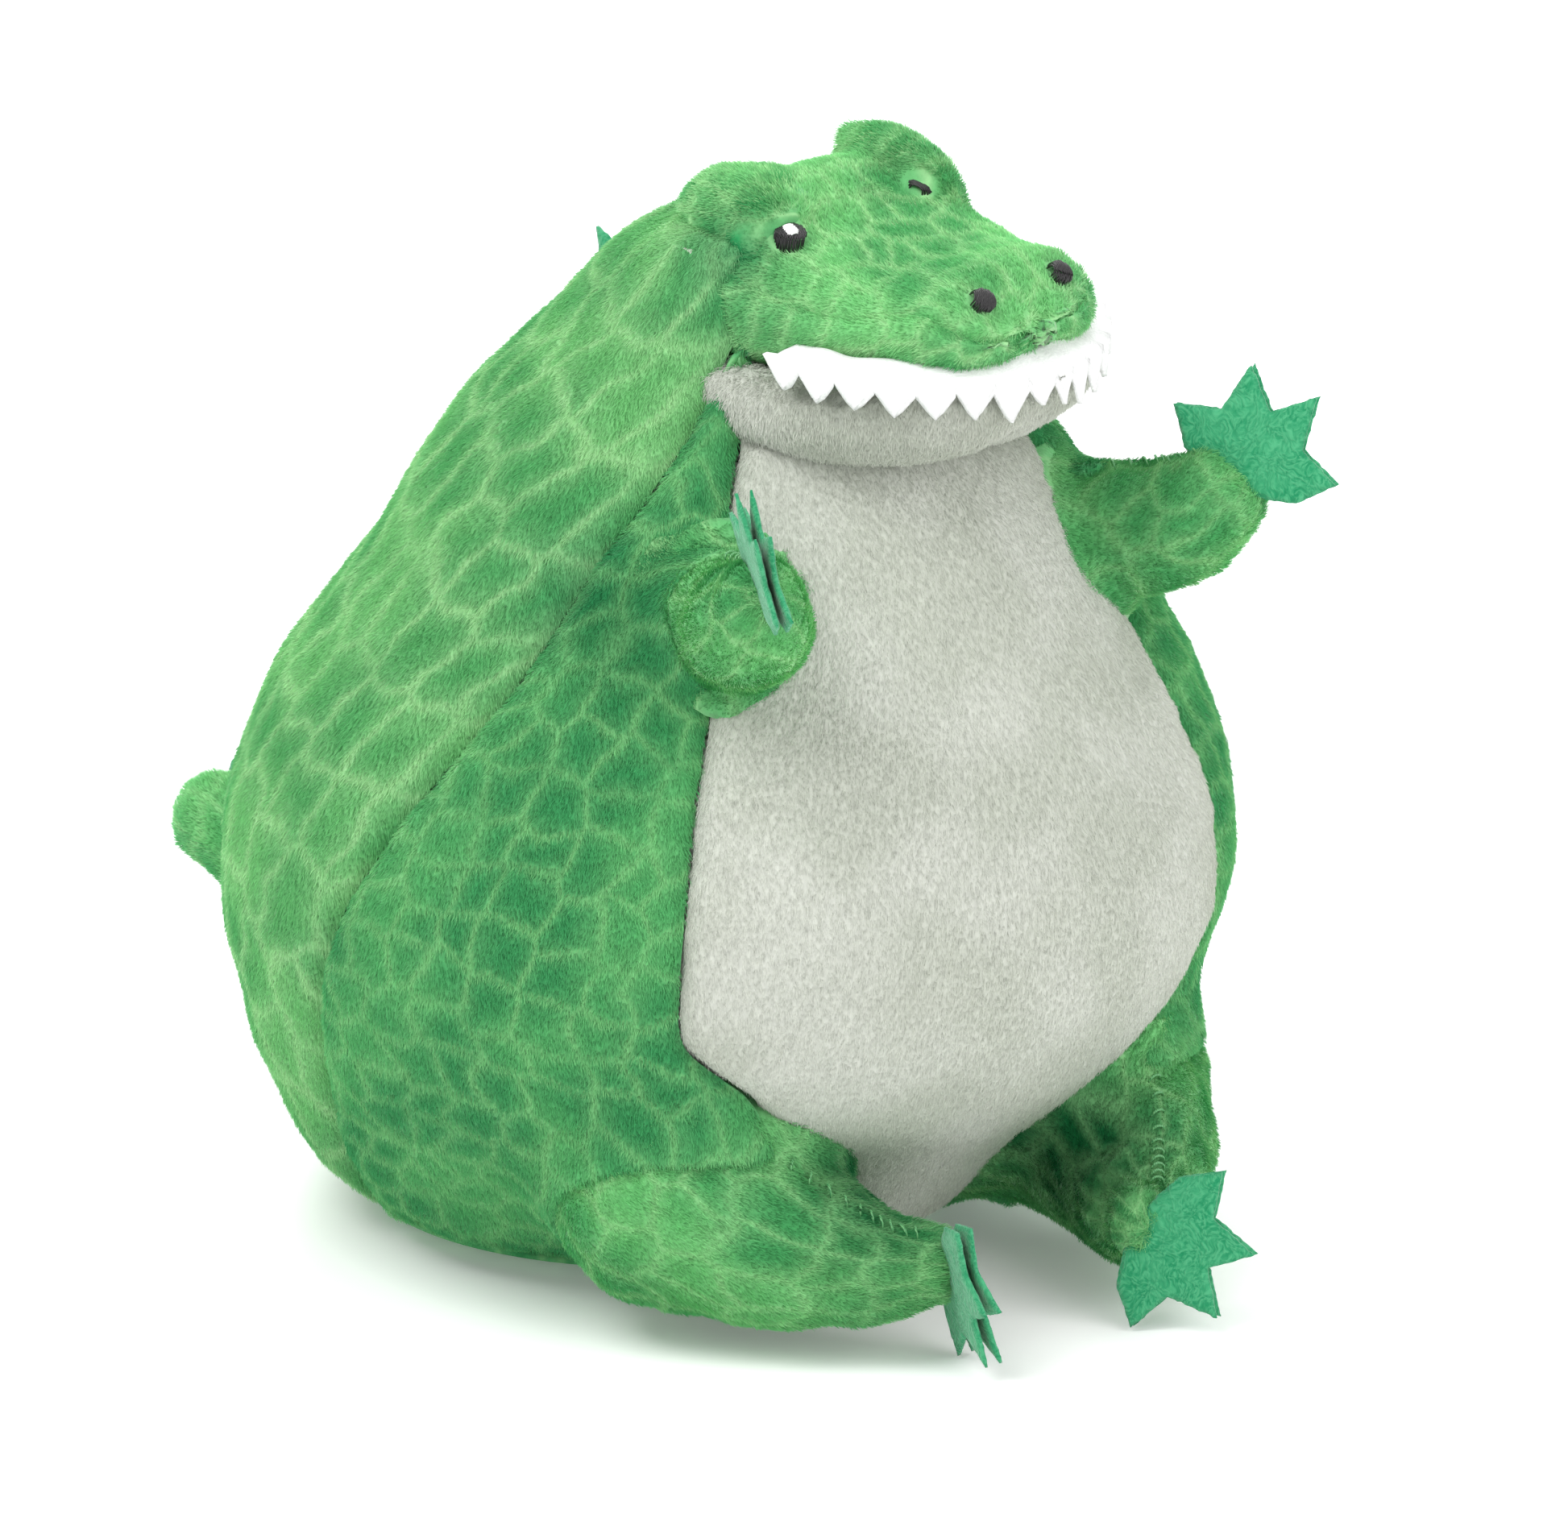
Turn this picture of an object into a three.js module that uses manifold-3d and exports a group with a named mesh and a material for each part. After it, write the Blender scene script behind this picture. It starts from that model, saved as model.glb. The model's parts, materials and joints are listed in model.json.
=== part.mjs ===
// A fat seated plush alligator, in millimetres, +Z up. It faces -Y, so its left is +X.
// The origin is on the floor, under the middle of the whole toy's box.
import * as THREE from 'three';
import { mergeVertices } from 'three/addons/utils/BufferGeometryUtils.js';
import Module from 'manifold-3d';

const wasm = await Module();
wasm.setup();

// ---- driving dimensions ----
const PLUSH = 2.2;               // backing and pile together
const GAP = 0.35;                // air between pieces that touch
const THIN_PLUSH = 1.75;         // the same on the head and the limbs, where it is trimmed
const FELT = 1.3;                // one layer of felt
const POCKET_MARGIN = 1.4;       // air round a limb's root in its pocket
const FLAP_MARGIN = 1.6;         // air between a felt paw and its sleeve's end
const FLAP_LIMIT = 15;           // degrees that a felt paw flaps either way
const FILL_GAP = 0.9;            // between a panel's wrong side and the filling
const FACET_ROOM = 0.2;          // more room where the body's panels have coarser facets
const HEAD_TURN = 13;            // degrees, towards the toy's left
const BODY_SHIFT = [0, -19.8, 0];  // body axis to the middle of the whole toy's box
const RAD = Math.PI / 180;

// Stations of the body, bottom to top: height, centre's Y, half-width, depth in front, depth behind.
const BODY_STATIONS = [
  [0, 21, 46.5, 46.5, 46.5],
  [3.5, 20, 55.5, 55, 56],
  [12, 18, 63, 62, 63],
  [25, 13, 71.5, 71, 70.5],
  [42, 5, 81.5, 82, 80.5],
  [62, 1, 87.5, 88.5, 87],
  [82, -1, 86.5, 87.5, 86.5],
  [104, -3, 78, 77.5, 77.5],
  [125, -6.5, 65, 64, 65.5],
  [140, -9, 57, 54, 60.5],
  [152, -12, 48.5, 43, 56],
  [165, -17, 39, 31, 48],
  [179, -21, 31, 22, 38],
  [190, -21, 23, 15, 23],
  [196, -21, 10, 7, 10],
];

// Height and angle from the front, in degrees, of the seam round the belly panel.
const BELLY_SEAM = [[0, 26], [17, 26.5], [34, 28], [46, 33], [58, 42], [80, 43], [120, 42], [196, 42]];

// The seam between side and back panel runs from beside the seat up and forward to the jaw's rear corner.
const SIDE_SEAM = [[0, 100], [12, 99], [50, 94.5], [71, 90.5], [90, 84], [114, 75], [135, 68.5],
  [159, 57], [179, 50], [196, 50]];

// Each brow lobe: its middle and radii in head coordinates, and how far its front is tipped down.
const BROWS = {
  left: { middle: [21, 20.5, 190], radii: [7, 14.5, 8.5], tip: 12 },
  right: { middle: [-14, 15.5, 190.5], radii: [11, 13, 8.5], tip: 0 },
};

// Stations of the upper head, back to front: forward distance, middle's height, half-width,
// height above the middle, depth below the middle.
const HEAD_STATIONS = [
  [4, 175, 15, 12, 8],
  [10, 175, 25, 19, 10],
  [19.5, 175, 31, 21.5, 10],
  [28, 176, 32.5, 15, 7],
  [36, 177, 32, 11.5, 6],
  [46, 177, 29.5, 9.5, 6],
  [54, 177, 26, 10.5, 7],
  [60, 177.5, 24, 11, 7.5],
  [64.5, 177.5, 22, 8.5, 7],
  [68.5, 177, 18.5, 4.5, 6],
  [71.5, 176.5, 10, 2, 3.5],
];

// Stations of the lower jaw's lobe: forward distance, middle's height, half-width, up, down.
const JAW_STATIONS = [
  [14, 165, 31, 7, 8],
  [20, 164.5, 36.5, 9, 10.5],
  [30, 163.5, 38, 9.5, 12],
  [42, 163.5, 37, 9, 13],
  [54, 164.5, 32.5, 8.5, 12.5],
  [64, 166.5, 25, 7.5, 11],
  [70, 168, 17, 6, 9],
  [74, 169, 8, 3, 5],
];

// Forward distance and sideways angle, in degrees, of the eyes and the nostrils.
const EYE_PLACE = [28.5, 29];
const NOSTRIL_PLACE = [66, 26];

// The felt strip of teeth starts under the snout's edge and lies over the jaw. For its sewn edge, its
// bend and its notches: half-width, reach forward and height.
const TEETH = 17;
const TOOTH_HEIGHT = 4.2;
const STRIP_BACK = 41;           // forward distance of the strip's two ends
const STRIP_SPREAD = 92;         // degrees either side of straight ahead that it runs round to
const STRIP_RISE = 3.5;          // how much higher its two ends are than its middle
const STRIP_ROWS = [[29, 28.5, 174], [34.5, 33, 171.3], [37.2, 35, 168.8]];

// ---- small helpers ----
function v3(x, y, z) {
  return new THREE.Vector3(x, y, z);
}

function lerp(a, b, t) {
  return a + (b - a) * t;
}

// One number of a station list at place t (0 to 1 along the list), on a smooth curve.
function smoothStations(list, column) {
  const points = list.map((row, i) => v3(i / (list.length - 1), row[column], 0));
  const curve = new THREE.CatmullRomCurve3(points, false, 'catmullrom', 0.35);
  return (t) => curve.getPoint(t).y;
}

function stationCurves(list) {
  return list[0].map((unused, column) => smoothStations(list, column));
}

// The place along a station list where its first column reaches a value.
function placeOf(curve, value) {
  let low = 0;
  let high = 1;
  for (let i = 0; i < 40; i += 1) {
    const middle = (low + high) / 2;
    if (curve(middle) < value) {
      low = middle;
    } else {
      high = middle;
    }
  }
  return (low + high) / 2;
}

function geometryOf(points, triangles) {
  const geometry = new THREE.BufferGeometry();
  const positions = points.flatMap((p) => [p.x, p.y, p.z]);
  geometry.setAttribute('position', new THREE.Float32BufferAttribute(positions, 3));
  geometry.setIndex(triangles);
  return facingOut(geometry);
}

// Turns the triangles over when the closed body's volume comes out negative.
function facingOut(geometry) {
  const p = geometry.getAttribute('position');
  const index = geometry.getIndex();
  const [a, b, c] = [v3(), v3(), v3()];
  let volume = 0;
  for (let i = 0; i < index.count; i += 3) {
    a.fromBufferAttribute(p, index.getX(i));
    b.fromBufferAttribute(p, index.getX(i + 1));
    c.fromBufferAttribute(p, index.getX(i + 2));
    volume += a.dot(b.cross(c));
  }
  if (volume < 0) {
    const flipped = Array.from(index.array);
    for (let i = 0; i < flipped.length; i += 3) {
      [flipped[i], flipped[i + 1]] = [flipped[i + 1], flipped[i]];
    }
    geometry.setIndex(flipped);
  }
  return geometry;
}

// A closed body from one pole through a row of rings to the other pole.
function fromRings(firstPole, rings, lastPole) {
  const sides = rings[0].length;
  const points = [firstPole, ...rings.flat(), lastPole];
  const triangles = [];
  const at = (ring, i) => 1 + ring * sides + (i % sides);
  for (let i = 0; i < sides; i += 1) {
    triangles.push(0, at(0, i + 1), at(0, i));
    triangles.push(points.length - 1, at(rings.length - 1, i), at(rings.length - 1, i + 1));
  }
  for (let ring = 0; ring < rings.length - 1; ring += 1) {
    for (let i = 0; i < sides; i += 1) {
      triangles.push(at(ring, i), at(ring, i + 1), at(ring + 1, i + 1));
      triangles.push(at(ring, i), at(ring + 1, i + 1), at(ring + 1, i));
    }
  }
  return geometryOf(points, triangles);
}

// A closed sheet between an outer and an inner grid of points of the same size.
function fromGrids(outer, inner) {
  const rows = outer.length;
  const columns = outer[0].length;
  const points = [...outer.flat(), ...inner.flat()];
  const triangles = [];
  const top = (r, c) => r * columns + c;
  const under = (r, c) => rows * columns + r * columns + c;
  for (let r = 0; r < rows - 1; r += 1) {
    for (let c = 0; c < columns - 1; c += 1) {
      triangles.push(top(r, c), top(r, c + 1), top(r + 1, c + 1));
      triangles.push(top(r, c), top(r + 1, c + 1), top(r + 1, c));
      triangles.push(under(r, c), under(r + 1, c + 1), under(r, c + 1));
      triangles.push(under(r, c), under(r + 1, c), under(r + 1, c + 1));
    }
  }
  const rim = [];
  for (let c = 0; c < columns; c += 1) rim.push([0, c]);
  for (let r = 1; r < rows; r += 1) rim.push([r, columns - 1]);
  for (let c = columns - 2; c >= 0; c -= 1) rim.push([rows - 1, c]);
  for (let r = rows - 2; r > 0; r -= 1) rim.push([r, 0]);
  rim.forEach(([r, c], i) => {
    const [nextR, nextC] = rim[(i + 1) % rim.length];
    triangles.push(top(r, c), under(nextR, nextC), top(nextR, nextC));
    triangles.push(top(r, c), under(r, c), under(nextR, nextC));
  });
  return geometryOf(points, triangles);
}

function toSolid(geometry) {
  const bare = geometry.clone();
  bare.deleteAttribute('normal');
  bare.deleteAttribute('uv');
  const merged = mergeVertices(bare, 1e-5);
  return new wasm.Manifold(new wasm.Mesh({
    numProp: 3,
    vertProperties: new Float32Array(merged.getAttribute('position').array),
    triVerts: new Uint32Array(merged.getIndex().array),
  }));
}

function fromSolid(solid) {
  const mesh = solid.getMesh();
  const geometry = new THREE.BufferGeometry();
  geometry.setAttribute('position', new THREE.Float32BufferAttribute(mesh.vertProperties, 3));
  geometry.setIndex(Array.from(mesh.triVerts));
  return geometry;
}

// Cuts every tool out of a geometry and keeps the largest piece that is left.
function cut(geometry, tools) {
  let solid = toSolid(geometry);
  tools.forEach((tool) => {
    solid = solid.subtract(tool);
  });
  const pieces = solid.decompose().sort((a, b) => b.volume() - a.volume());
  return fromSolid(pieces[0]);
}

// ---- body surface ----
const bodyCurve = stationCurves(BODY_STATIONS);

// A point of the body at an angle from the front (degrees, + to its left) and a place t.
function bodySkin(angle, t) {
  const [z, middle, side, front, back] = bodyCurve.map((curve) => curve(t));
  const a = angle * RAD;
  const depth = Math.cos(a) > 0 ? front : back;
  return v3(side * Math.sin(a), middle - depth * Math.cos(a), z);
}

function bodyPoint(angle, t, inset) {
  const step = 0.004;
  const along = bodySkin(angle + 1, t).sub(bodySkin(angle - 1, t));
  const up = bodySkin(angle, Math.min(t + step, 1)).sub(bodySkin(angle, Math.max(t - step, 0)));
  const inward = up.cross(along).normalize();
  return bodySkin(angle, t).addScaledVector(inward, inset);
}

function bodyPanel(leftEdge, rightEdge, low, high, columns, rows) {
  const grid = (inset) => Array.from({ length: rows + 1 }, (unusedRow, r) => {
    const t = lerp(low, high, r / rows);
    return Array.from({ length: columns + 1 }, (unusedColumn, c) => {
      const angle = lerp(leftEdge(t), rightEdge(t), c / columns);
      return bodyPoint(angle, t, inset);
    });
  });
  return fromGrids(grid(0), grid(PLUSH));
}

// Half the seam gap as an angle at a place on the body.
function seamAngle(t) {
  return (GAP / 2 / Math.max(bodyCurve[2](t), 12)) / RAD;
}

// A seam's angle from the front as a function of the place on the body.
function seamCurve(table) {
  const height = smoothStations(table, 0);
  const angle = smoothStations(table, 1);
  return (t) => angle(placeOf(height, bodyCurve[0](t)));
}

const sideSeam = seamCurve(SIDE_SEAM);
const bellySeam = seamCurve(BELLY_SEAM);

function innerBody(inset, sides, rows) {
  const seatTop = placeOf(bodyCurve[0], inset);
  const rings = Array.from({ length: rows + 1 }, (unusedRow, r) => {
    const t = lerp(seatTop, 0.985, r / rows);
    return Array.from({ length: sides }, (unusedSide, i) => bodyPoint((i * 360) / sides, t, inset));
  });
  const floor = PLUSH + FILL_GAP;
  rings.forEach((ring) => ring.forEach((p) => p.setZ(Math.max(p.z, floor))));
  const bottom = v3(0, BODY_STATIONS[0][1], floor);
  const top = rings[rows][0].clone().add(rings[rows][sides / 2]).multiplyScalar(0.5);
  return fromRings(bottom, rings, top);
}

// ---- head ----
const headCurve = stationCurves(HEAD_STATIONS);
const jawCurve = stationCurves(JAW_STATIONS);

// Head coordinates (left, forward, height) to body coordinates.
function fromHead(left, forward, height) {
  const turn = HEAD_TURN * RAD;
  const x = left * Math.cos(turn) + forward * Math.sin(turn);
  const y = left * Math.sin(turn) - forward * Math.cos(turn);
  return v3(x, y, height);
}

// A rounded section: angle 0 is straight up, 90 is to the toy's left, 180 is down.
function sectionPoint(curves, angle, t, inset) {
  const [forward, middle, side, up, down] = curves.map((curve) => curve(t));
  const a = angle * RAD;
  const height = Math.cos(a) > 0 ? up : down;
  // The half that faces the mouth is flatter than the other one.
  const mouthSide = (curves === headCurve) === (Math.cos(a) < 0);
  const power = mouthSide ? 0.6 : 0.85;
  const squash = (value) => Math.sign(value) * Math.abs(value) ** power;
  const left = (side - inset) * squash(Math.sin(a));
  const z = middle + (height - inset) * squash(Math.cos(a));
  return fromHead(left, forward, z);
}

function headPanel(curves, from, to, low, high, columns, rows) {
  const grid = (inset) => Array.from({ length: rows + 1 }, (unusedRow, r) => {
    const t = lerp(low, high, r / rows);
    return Array.from({ length: columns + 1 }, (unusedColumn, c) => (
      sectionPoint(curves, lerp(from, to, c / columns), t, inset)));
  });
  return fromGrids(grid(0), grid(THIN_PLUSH));
}

function headCore(curves, inset, low, high, sides, rows) {
  const rings = Array.from({ length: rows + 1 }, (unusedRow, r) => {
    const t = lerp(low, high, r / rows);
    return Array.from({ length: sides }, (unusedSide, i) => (
      sectionPoint(curves, (i * 360) / sides, t, inset)));
  });
  const first = fromHead(0, curves[0](low) - 0.5, curves[1](low));
  const last = fromHead(0, curves[0](high) + 0.5, curves[1](high));
  return fromRings(first, rings, last);
}

// A shallow domed disc lying on a surface, for embroidery.
function disc(centre, normal, radiusX, radiusY, thickness, lift) {
  const sides = 14;
  const out = normal.clone().normalize();
  const across = v3(0, 0, 1).cross(out).normalize();
  const upward = out.clone().cross(across);
  const base = centre.clone().addScaledVector(out, lift);
  const ring = (scale, height) => Array.from({ length: sides }, (unused, i) => {
    const a = (i * 2 * Math.PI) / sides;
    return base.clone()
      .addScaledVector(across, radiusX * scale * Math.cos(a))
      .addScaledVector(upward, radiusY * scale * Math.sin(a))
      .addScaledVector(out, height);
  });
  const rings = [ring(0.9, 0), ring(1, thickness * 0.4), ring(0.8, thickness * 0.85)];
  return fromRings(base, rings, base.clone().addScaledVector(out, thickness));
}

// ---- limbs ----
// A limb runs through stations of centre and radius. Its first end is a ball about the first centre.
function limbRings(stations, inset, sides) {
  const centres = stations.map((s) => v3(...s.at));
  const path = new THREE.CatmullRomCurve3(centres, false, 'catmullrom', 0.5);
  const radius = smoothStations(stations.map((s, i) => [i, s.r]), 1);
  const tall = smoothStations(stations.map((s, i) => [i, s.tall ?? 1]), 1);
  const count = stations.length + 1;
  const rings = [];
  const sideways = v3(0, 0, 1).cross(path.getTangent(0)).normalize();
  const ringAt = (centre, tangent, r, stretch) => {
    const across = sideways.clone().addScaledVector(tangent, -sideways.dot(tangent)).normalize();
    const upward = tangent.clone().cross(across);
    return Array.from({ length: sides }, (unused, i) => {
      const a = (i * 2 * Math.PI) / sides;
      return centre.clone()
        .addScaledVector(across, r * Math.cos(a))
        .addScaledVector(upward, r * stretch * Math.sin(a));
    });
  };
  const start = path.getTangent(0);
  const ball = stations[0].r - inset;
  for (let i = 1; i < 3; i += 1) {
    const a = (i * 30) * RAD;
    const centre = centres[0].clone().addScaledVector(start, -ball * Math.cos(a));
    rings.push(ringAt(centre, start, ball * Math.sin(a), tall(0)));
  }
  for (let i = 0; i <= count; i += 1) {
    const t = i / count;
    rings.push(ringAt(path.getPoint(t), path.getTangent(t), radius(t) - inset, tall(t)));
  }
  const end = path.getTangent(1);
  const last = centres[centres.length - 1];
  const endRadius = radius(1) - inset;
  const bulge = stations[stations.length - 1].bulge;
  rings.push(ringAt(last.clone().addScaledVector(end, bulge * 0.6), end, endRadius * 0.75, tall(1)));
  return {
    rings,
    start: centres[0].clone().addScaledVector(start, -ball),
    end: last.clone().addScaledVector(end, bulge - inset * 0.3),
  };
}

// The sleeve is a cup whose mouth faces the body.
function sleeve(stations, sides) {
  const outside = limbRings(stations, 0, sides);
  const inside = limbRings(stations, THIN_PLUSH, sides);
  return fromRings(inside.end, [...inside.rings.reverse(), ...outside.rings], outside.end);
}

function limbCore(stations, inset, sides) {
  const { rings, start, end } = limbRings(stations, inset, sides);
  return fromRings(start, rings, end);
}

// The pocket that a limb needs in the body: the limb at the middle of its range, made wider by
// a margin and, further from the hinge, by half its swing.
function pocket(limb) {
  const [low, high] = limb.range;
  const middle = ((low + high) / 2) * RAD;
  const flare = Math.tan(((high - low) / 2) * RAD);
  const stations = limb.stations.map((s) => {
    const arm = v3(...s.at).sub(limb.hinge);
    const r = s.r + POCKET_MARGIN + arm.length() * flare;
    const at = arm.applyAxisAngle(limb.axis, middle).add(limb.hinge);
    return { ...s, at: at.toArray(), r };
  });
  return toSolid(limbCore(stations, 0, 14));
}

// ---- felt hands and feet ----
// A webbed paw with four pointed toes, seen flat: the sewn edge's middle is at the origin.
const TOE_ANGLES = [74, 21, -21, -74];
const TOE_REACH = 18;
const WEB_REACH = 10.8;
function pawShape() {
  const polar = (angle, reach) => [-Math.sin(angle * RAD) * reach, Math.cos(angle * RAD) * reach];
  const shape = new THREE.Shape();
  shape.moveTo(-11, -1.5);
  TOE_ANGLES.forEach((angle, i) => {
    const outer = i === 0 || i === TOE_ANGLES.length - 1;
    shape.lineTo(...polar(angle, outer ? TOE_REACH * 0.92 : TOE_REACH));
    if (i < TOE_ANGLES.length - 1) {
      shape.lineTo(...polar((angle + TOE_ANGLES[i + 1]) / 2, WEB_REACH));
    }
  });
  shape.lineTo(11, -1.5);
  shape.quadraticCurveTo(0, -4, -11, -1.5);
  return shape;
}

// Places a paw layer: its plane holds `along` (root to toes) and `across`.
function pawLayer(centre, along, normal, offset) {
  const settings = { depth: FELT, bevelEnabled: false, curveSegments: 4 };
  const geometry = new THREE.ExtrudeGeometry(pawShape(), settings);
  const y = along.clone().normalize();
  const z = normal.clone().addScaledVector(y, -normal.dot(y)).normalize();
  const x = y.clone().cross(z);
  const origin = centre.clone().addScaledVector(z, offset);
  geometry.applyMatrix4(new THREE.Matrix4().makeBasis(x, y, z).setPosition(origin));
  geometry.deleteAttribute('normal');
  geometry.deleteAttribute('uv');
  return facingOut(mergeVertices(geometry, 1e-5));
}

// The sleeve's space as a flapping paw meets it: turned about the paw's sewn edge.
function flappedSleeve(limb, angle) {
  const geometry = limbCore(limb.stations, -FLAP_MARGIN, 14);
  const across = limb.along.clone().cross(limb.normal).normalize();
  const turn = new THREE.Matrix4().makeRotationAxis(across, angle * RAD);
  geometry.translate(-limb.pawRoot.x, -limb.pawRoot.y, -limb.pawRoot.z);
  geometry.applyMatrix4(turn);
  geometry.translate(limb.pawRoot.x, limb.pawRoot.y, limb.pawRoot.z);
  return toSolid(geometry);
}

// ---- materials ----
function material(color, roughness) {
  return new THREE.MeshStandardMaterial({ color, roughness, metalness: 0 });
}

const GREEN = material(0x56b563, 0.95);
const DARK_GREEN = material(0x2f9655, 0.95);
const PALE = material(0xcdd2ca, 0.95);
const FELT_GREEN = material(0x2da46b, 0.9);
const FELT_WHITE = material(0xf7f8f6, 0.9);
const FIBRE = material(0xf0efe8, 1);
const THREAD_BLACK = material(0x17171a, 0.6);
const THREAD_WHITE = material(0xf4f4f2, 0.6);
const BAG = material(0xd9d5c8, 0.8);

const toy = new THREE.Group();
toy.position.set(...BODY_SHIFT);

function add(name, geometry, look) {
  const mesh = new THREE.Mesh(geometry, look.clone());
  mesh.name = name;
  toy.add(mesh);
}

// ---- limbs' routes, for the toy's left (+X); the right ones are mirrored, then turned ----
const ARM = {
  stations: [
    { at: [36, -42, 128.5], r: 14 },
    { at: [44.5, -55, 131.5], r: 13.5 },
    { at: [51, -64.5, 135.5], r: 12.5 },
    { at: [55, -70, 141], r: 10, bulge: 3 },
  ],
  axis: [0.76, 0.65, 0],
  range: [-18, 15],
  paw: { gap: 2.2, along: [0.39, -0.18, 0.92], normal: [-0.75, -0.6, 0.2] },
  turnRight: 13,
  pawTurnRight: 0,
};
const LEG = {
  stations: [
    { at: [43, -44, 27], r: 24.5 },
    { at: [39, -61, 21], r: 18.5 },
    { at: [31, -76, 17], r: 12.5 },
    { at: [25, -86, 17.4], r: 8.6, bulge: 3 },
  ],
  axis: [0.86, 0.5, 0],
  range: [-14, 0],
  paw: { gap: 2.2, along: [0.48, -0.76, -0.46], normal: [-0.75, -0.6, 0.2] },
  turnRight: 10,
  pawTurnRight: 12,
};
const TAIL = {
  stations: [
    { at: [0, 76, 32], r: 14.5 },
    { at: [-1.5, 98, 33], r: 13 },
    { at: [-5, 120, 34.5], r: 11.8 },
    { at: [-8, 136.5, 39], r: 10, bulge: 8 },
  ],
  axis: [0, 0, 1],
  range: [-20, 20],
  turnRight: 0,
};

const UP = v3(0, 0, 1);

// A point or direction given for the left side, on the side asked for.
function onSide(values, side, turn, pivot) {
  const point = v3(values[0] * side, values[1], values[2]);
  if (side > 0) {
    return point;
  }
  return point.sub(pivot).applyAxisAngle(UP, turn * RAD).add(pivot);
}

function limbFor(name, source, side) {
  const root = source.stations[0].at;
  const hinge = v3(root[0] * side, root[1], root[2]);
  const still = v3(0, 0, 0);
  const stations = source.stations.map((s) => (
    { ...s, at: onSide(s.at, side, source.turnRight, hinge).toArray() }));
  // Both sides lift with a negative angle, so the right axis is mirrored and turned over.
  const axis = onSide(source.axis, side, source.turnRight, still);
  if (side < 0) {
    axis.negate();
  }
  const limb = { name, stations, hinge, axis: axis.normalize(), range: source.range };
  if (source.paw) {
    const last = stations[stations.length - 1];
    const before = stations[stations.length - 2];
    const end = v3(...last.at).sub(v3(...before.at)).normalize();
    const turn = source.turnRight + source.pawTurnRight;
    limb.along = onSide(source.paw.along, side, turn, still);
    limb.normal = onSide(source.paw.normal, side, turn, still);
    limb.pawRoot = v3(...last.at).addScaledVector(end, last.bulge)
      .addScaledVector(limb.along, source.paw.gap);
  }
  return limb;
}

const SIDES = [['left', 1], ['right', -1]];
const LIMBS = [];
[['arm', ARM], ['leg', LEG]].forEach(([kind, source]) => {
  SIDES.forEach(([sideName, side]) => LIMBS.push(limbFor(`${kind}_${sideName}`, source, side)));
});
LIMBS.push(limbFor('tail', TAIL, 1));

const limbPockets = LIMBS.map(pocket);

// ---- head pieces ----
// Each brow is a folded lobe of plush that stands above its eye.
function brow({ middle, radii, tip }, grow) {
  const geometry = new THREE.SphereGeometry(1, 16, 10);
  geometry.scale(...radii.map((radius) => radius + grow));
  geometry.rotateX(-tip * RAD);
  geometry.translate(...middle);
  const p = geometry.getAttribute('position');
  for (let i = 0; i < p.count; i += 1) {
    const place = fromHead(p.getX(i), p.getY(i), p.getZ(i));
    p.setXYZ(i, place.x, place.y, place.z);
  }
  geometry.deleteAttribute('normal');
  geometry.deleteAttribute('uv');
  return facingOut(mergeVertices(geometry, 1e-5));
}

const headSpace = toSolid(headCore(headCurve, -FILL_GAP, 0, 1, 20, 12))
  .add(toSolid(headCore(jawCurve, -FILL_GAP, 0, 1, 20, 9)))
  .add(toSolid(brow(BROWS.left, FILL_GAP)))
  .add(toSolid(brow(BROWS.right, FILL_GAP)));

// ---- body pieces ----
const bodyTools = [headSpace, ...limbPockets];
const seatEdge = placeOf(bodyCurve[0], PLUSH + GAP);
// All body panels share the same rows, so that their edges run side by side. The belly ends under the
// jaw, the side panels behind the head, and the back panels at the top of the neck.
const BACK_ROWS = 19;
const SIDE_ROWS = 16;
const BELLY_ROWS = 14;
const rowPlace = (row) => lerp(seatEdge, 1, row / BACK_ROWS);

add('belly_panel', cut(bodyPanel(
  (t) => -bellySeam(t) + seamAngle(t),
  (t) => bellySeam(t) - seamAngle(t),
  seatEdge, rowPlace(BELLY_ROWS), 10, BELLY_ROWS), bodyTools), PALE);

SIDES.forEach(([sideName, side]) => {
  add(`side_panel_${sideName}`, cut(bodyPanel(
    (t) => side * (bellySeam(t) + seamAngle(t)),
    (t) => side * (sideSeam(t) - seamAngle(t)),
    seatEdge, rowPlace(SIDE_ROWS), 5, SIDE_ROWS), bodyTools), DARK_GREEN);
  add(`back_panel_${sideName}`, cut(bodyPanel(
    (t) => side * (sideSeam(t) + seamAngle(t)),
    (t) => side * (180 - seamAngle(t)),
    seatEdge, 1, 7, BACK_ROWS), bodyTools), GREEN);
});

// The flat round panel that the toy sits on.
function seatPanel() {
  const radius = BODY_STATIONS[0][2];
  const profile = [
    [0, 0], [radius, 0], [radius + 4, PLUSH * 0.6], [radius + 4.5, PLUSH], [0, PLUSH],
  ].map(([x, y]) => new THREE.Vector2(x, y));
  const geometry = new THREE.LatheGeometry(profile, 40);
  geometry.rotateX(Math.PI / 2);
  geometry.translate(0, BODY_STATIONS[0][1], 0);
  geometry.deleteAttribute('normal');
  geometry.deleteAttribute('uv');
  return facingOut(mergeVertices(geometry, 1e-5));
}
add('seat_panel', seatPanel(), GREEN);

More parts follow.
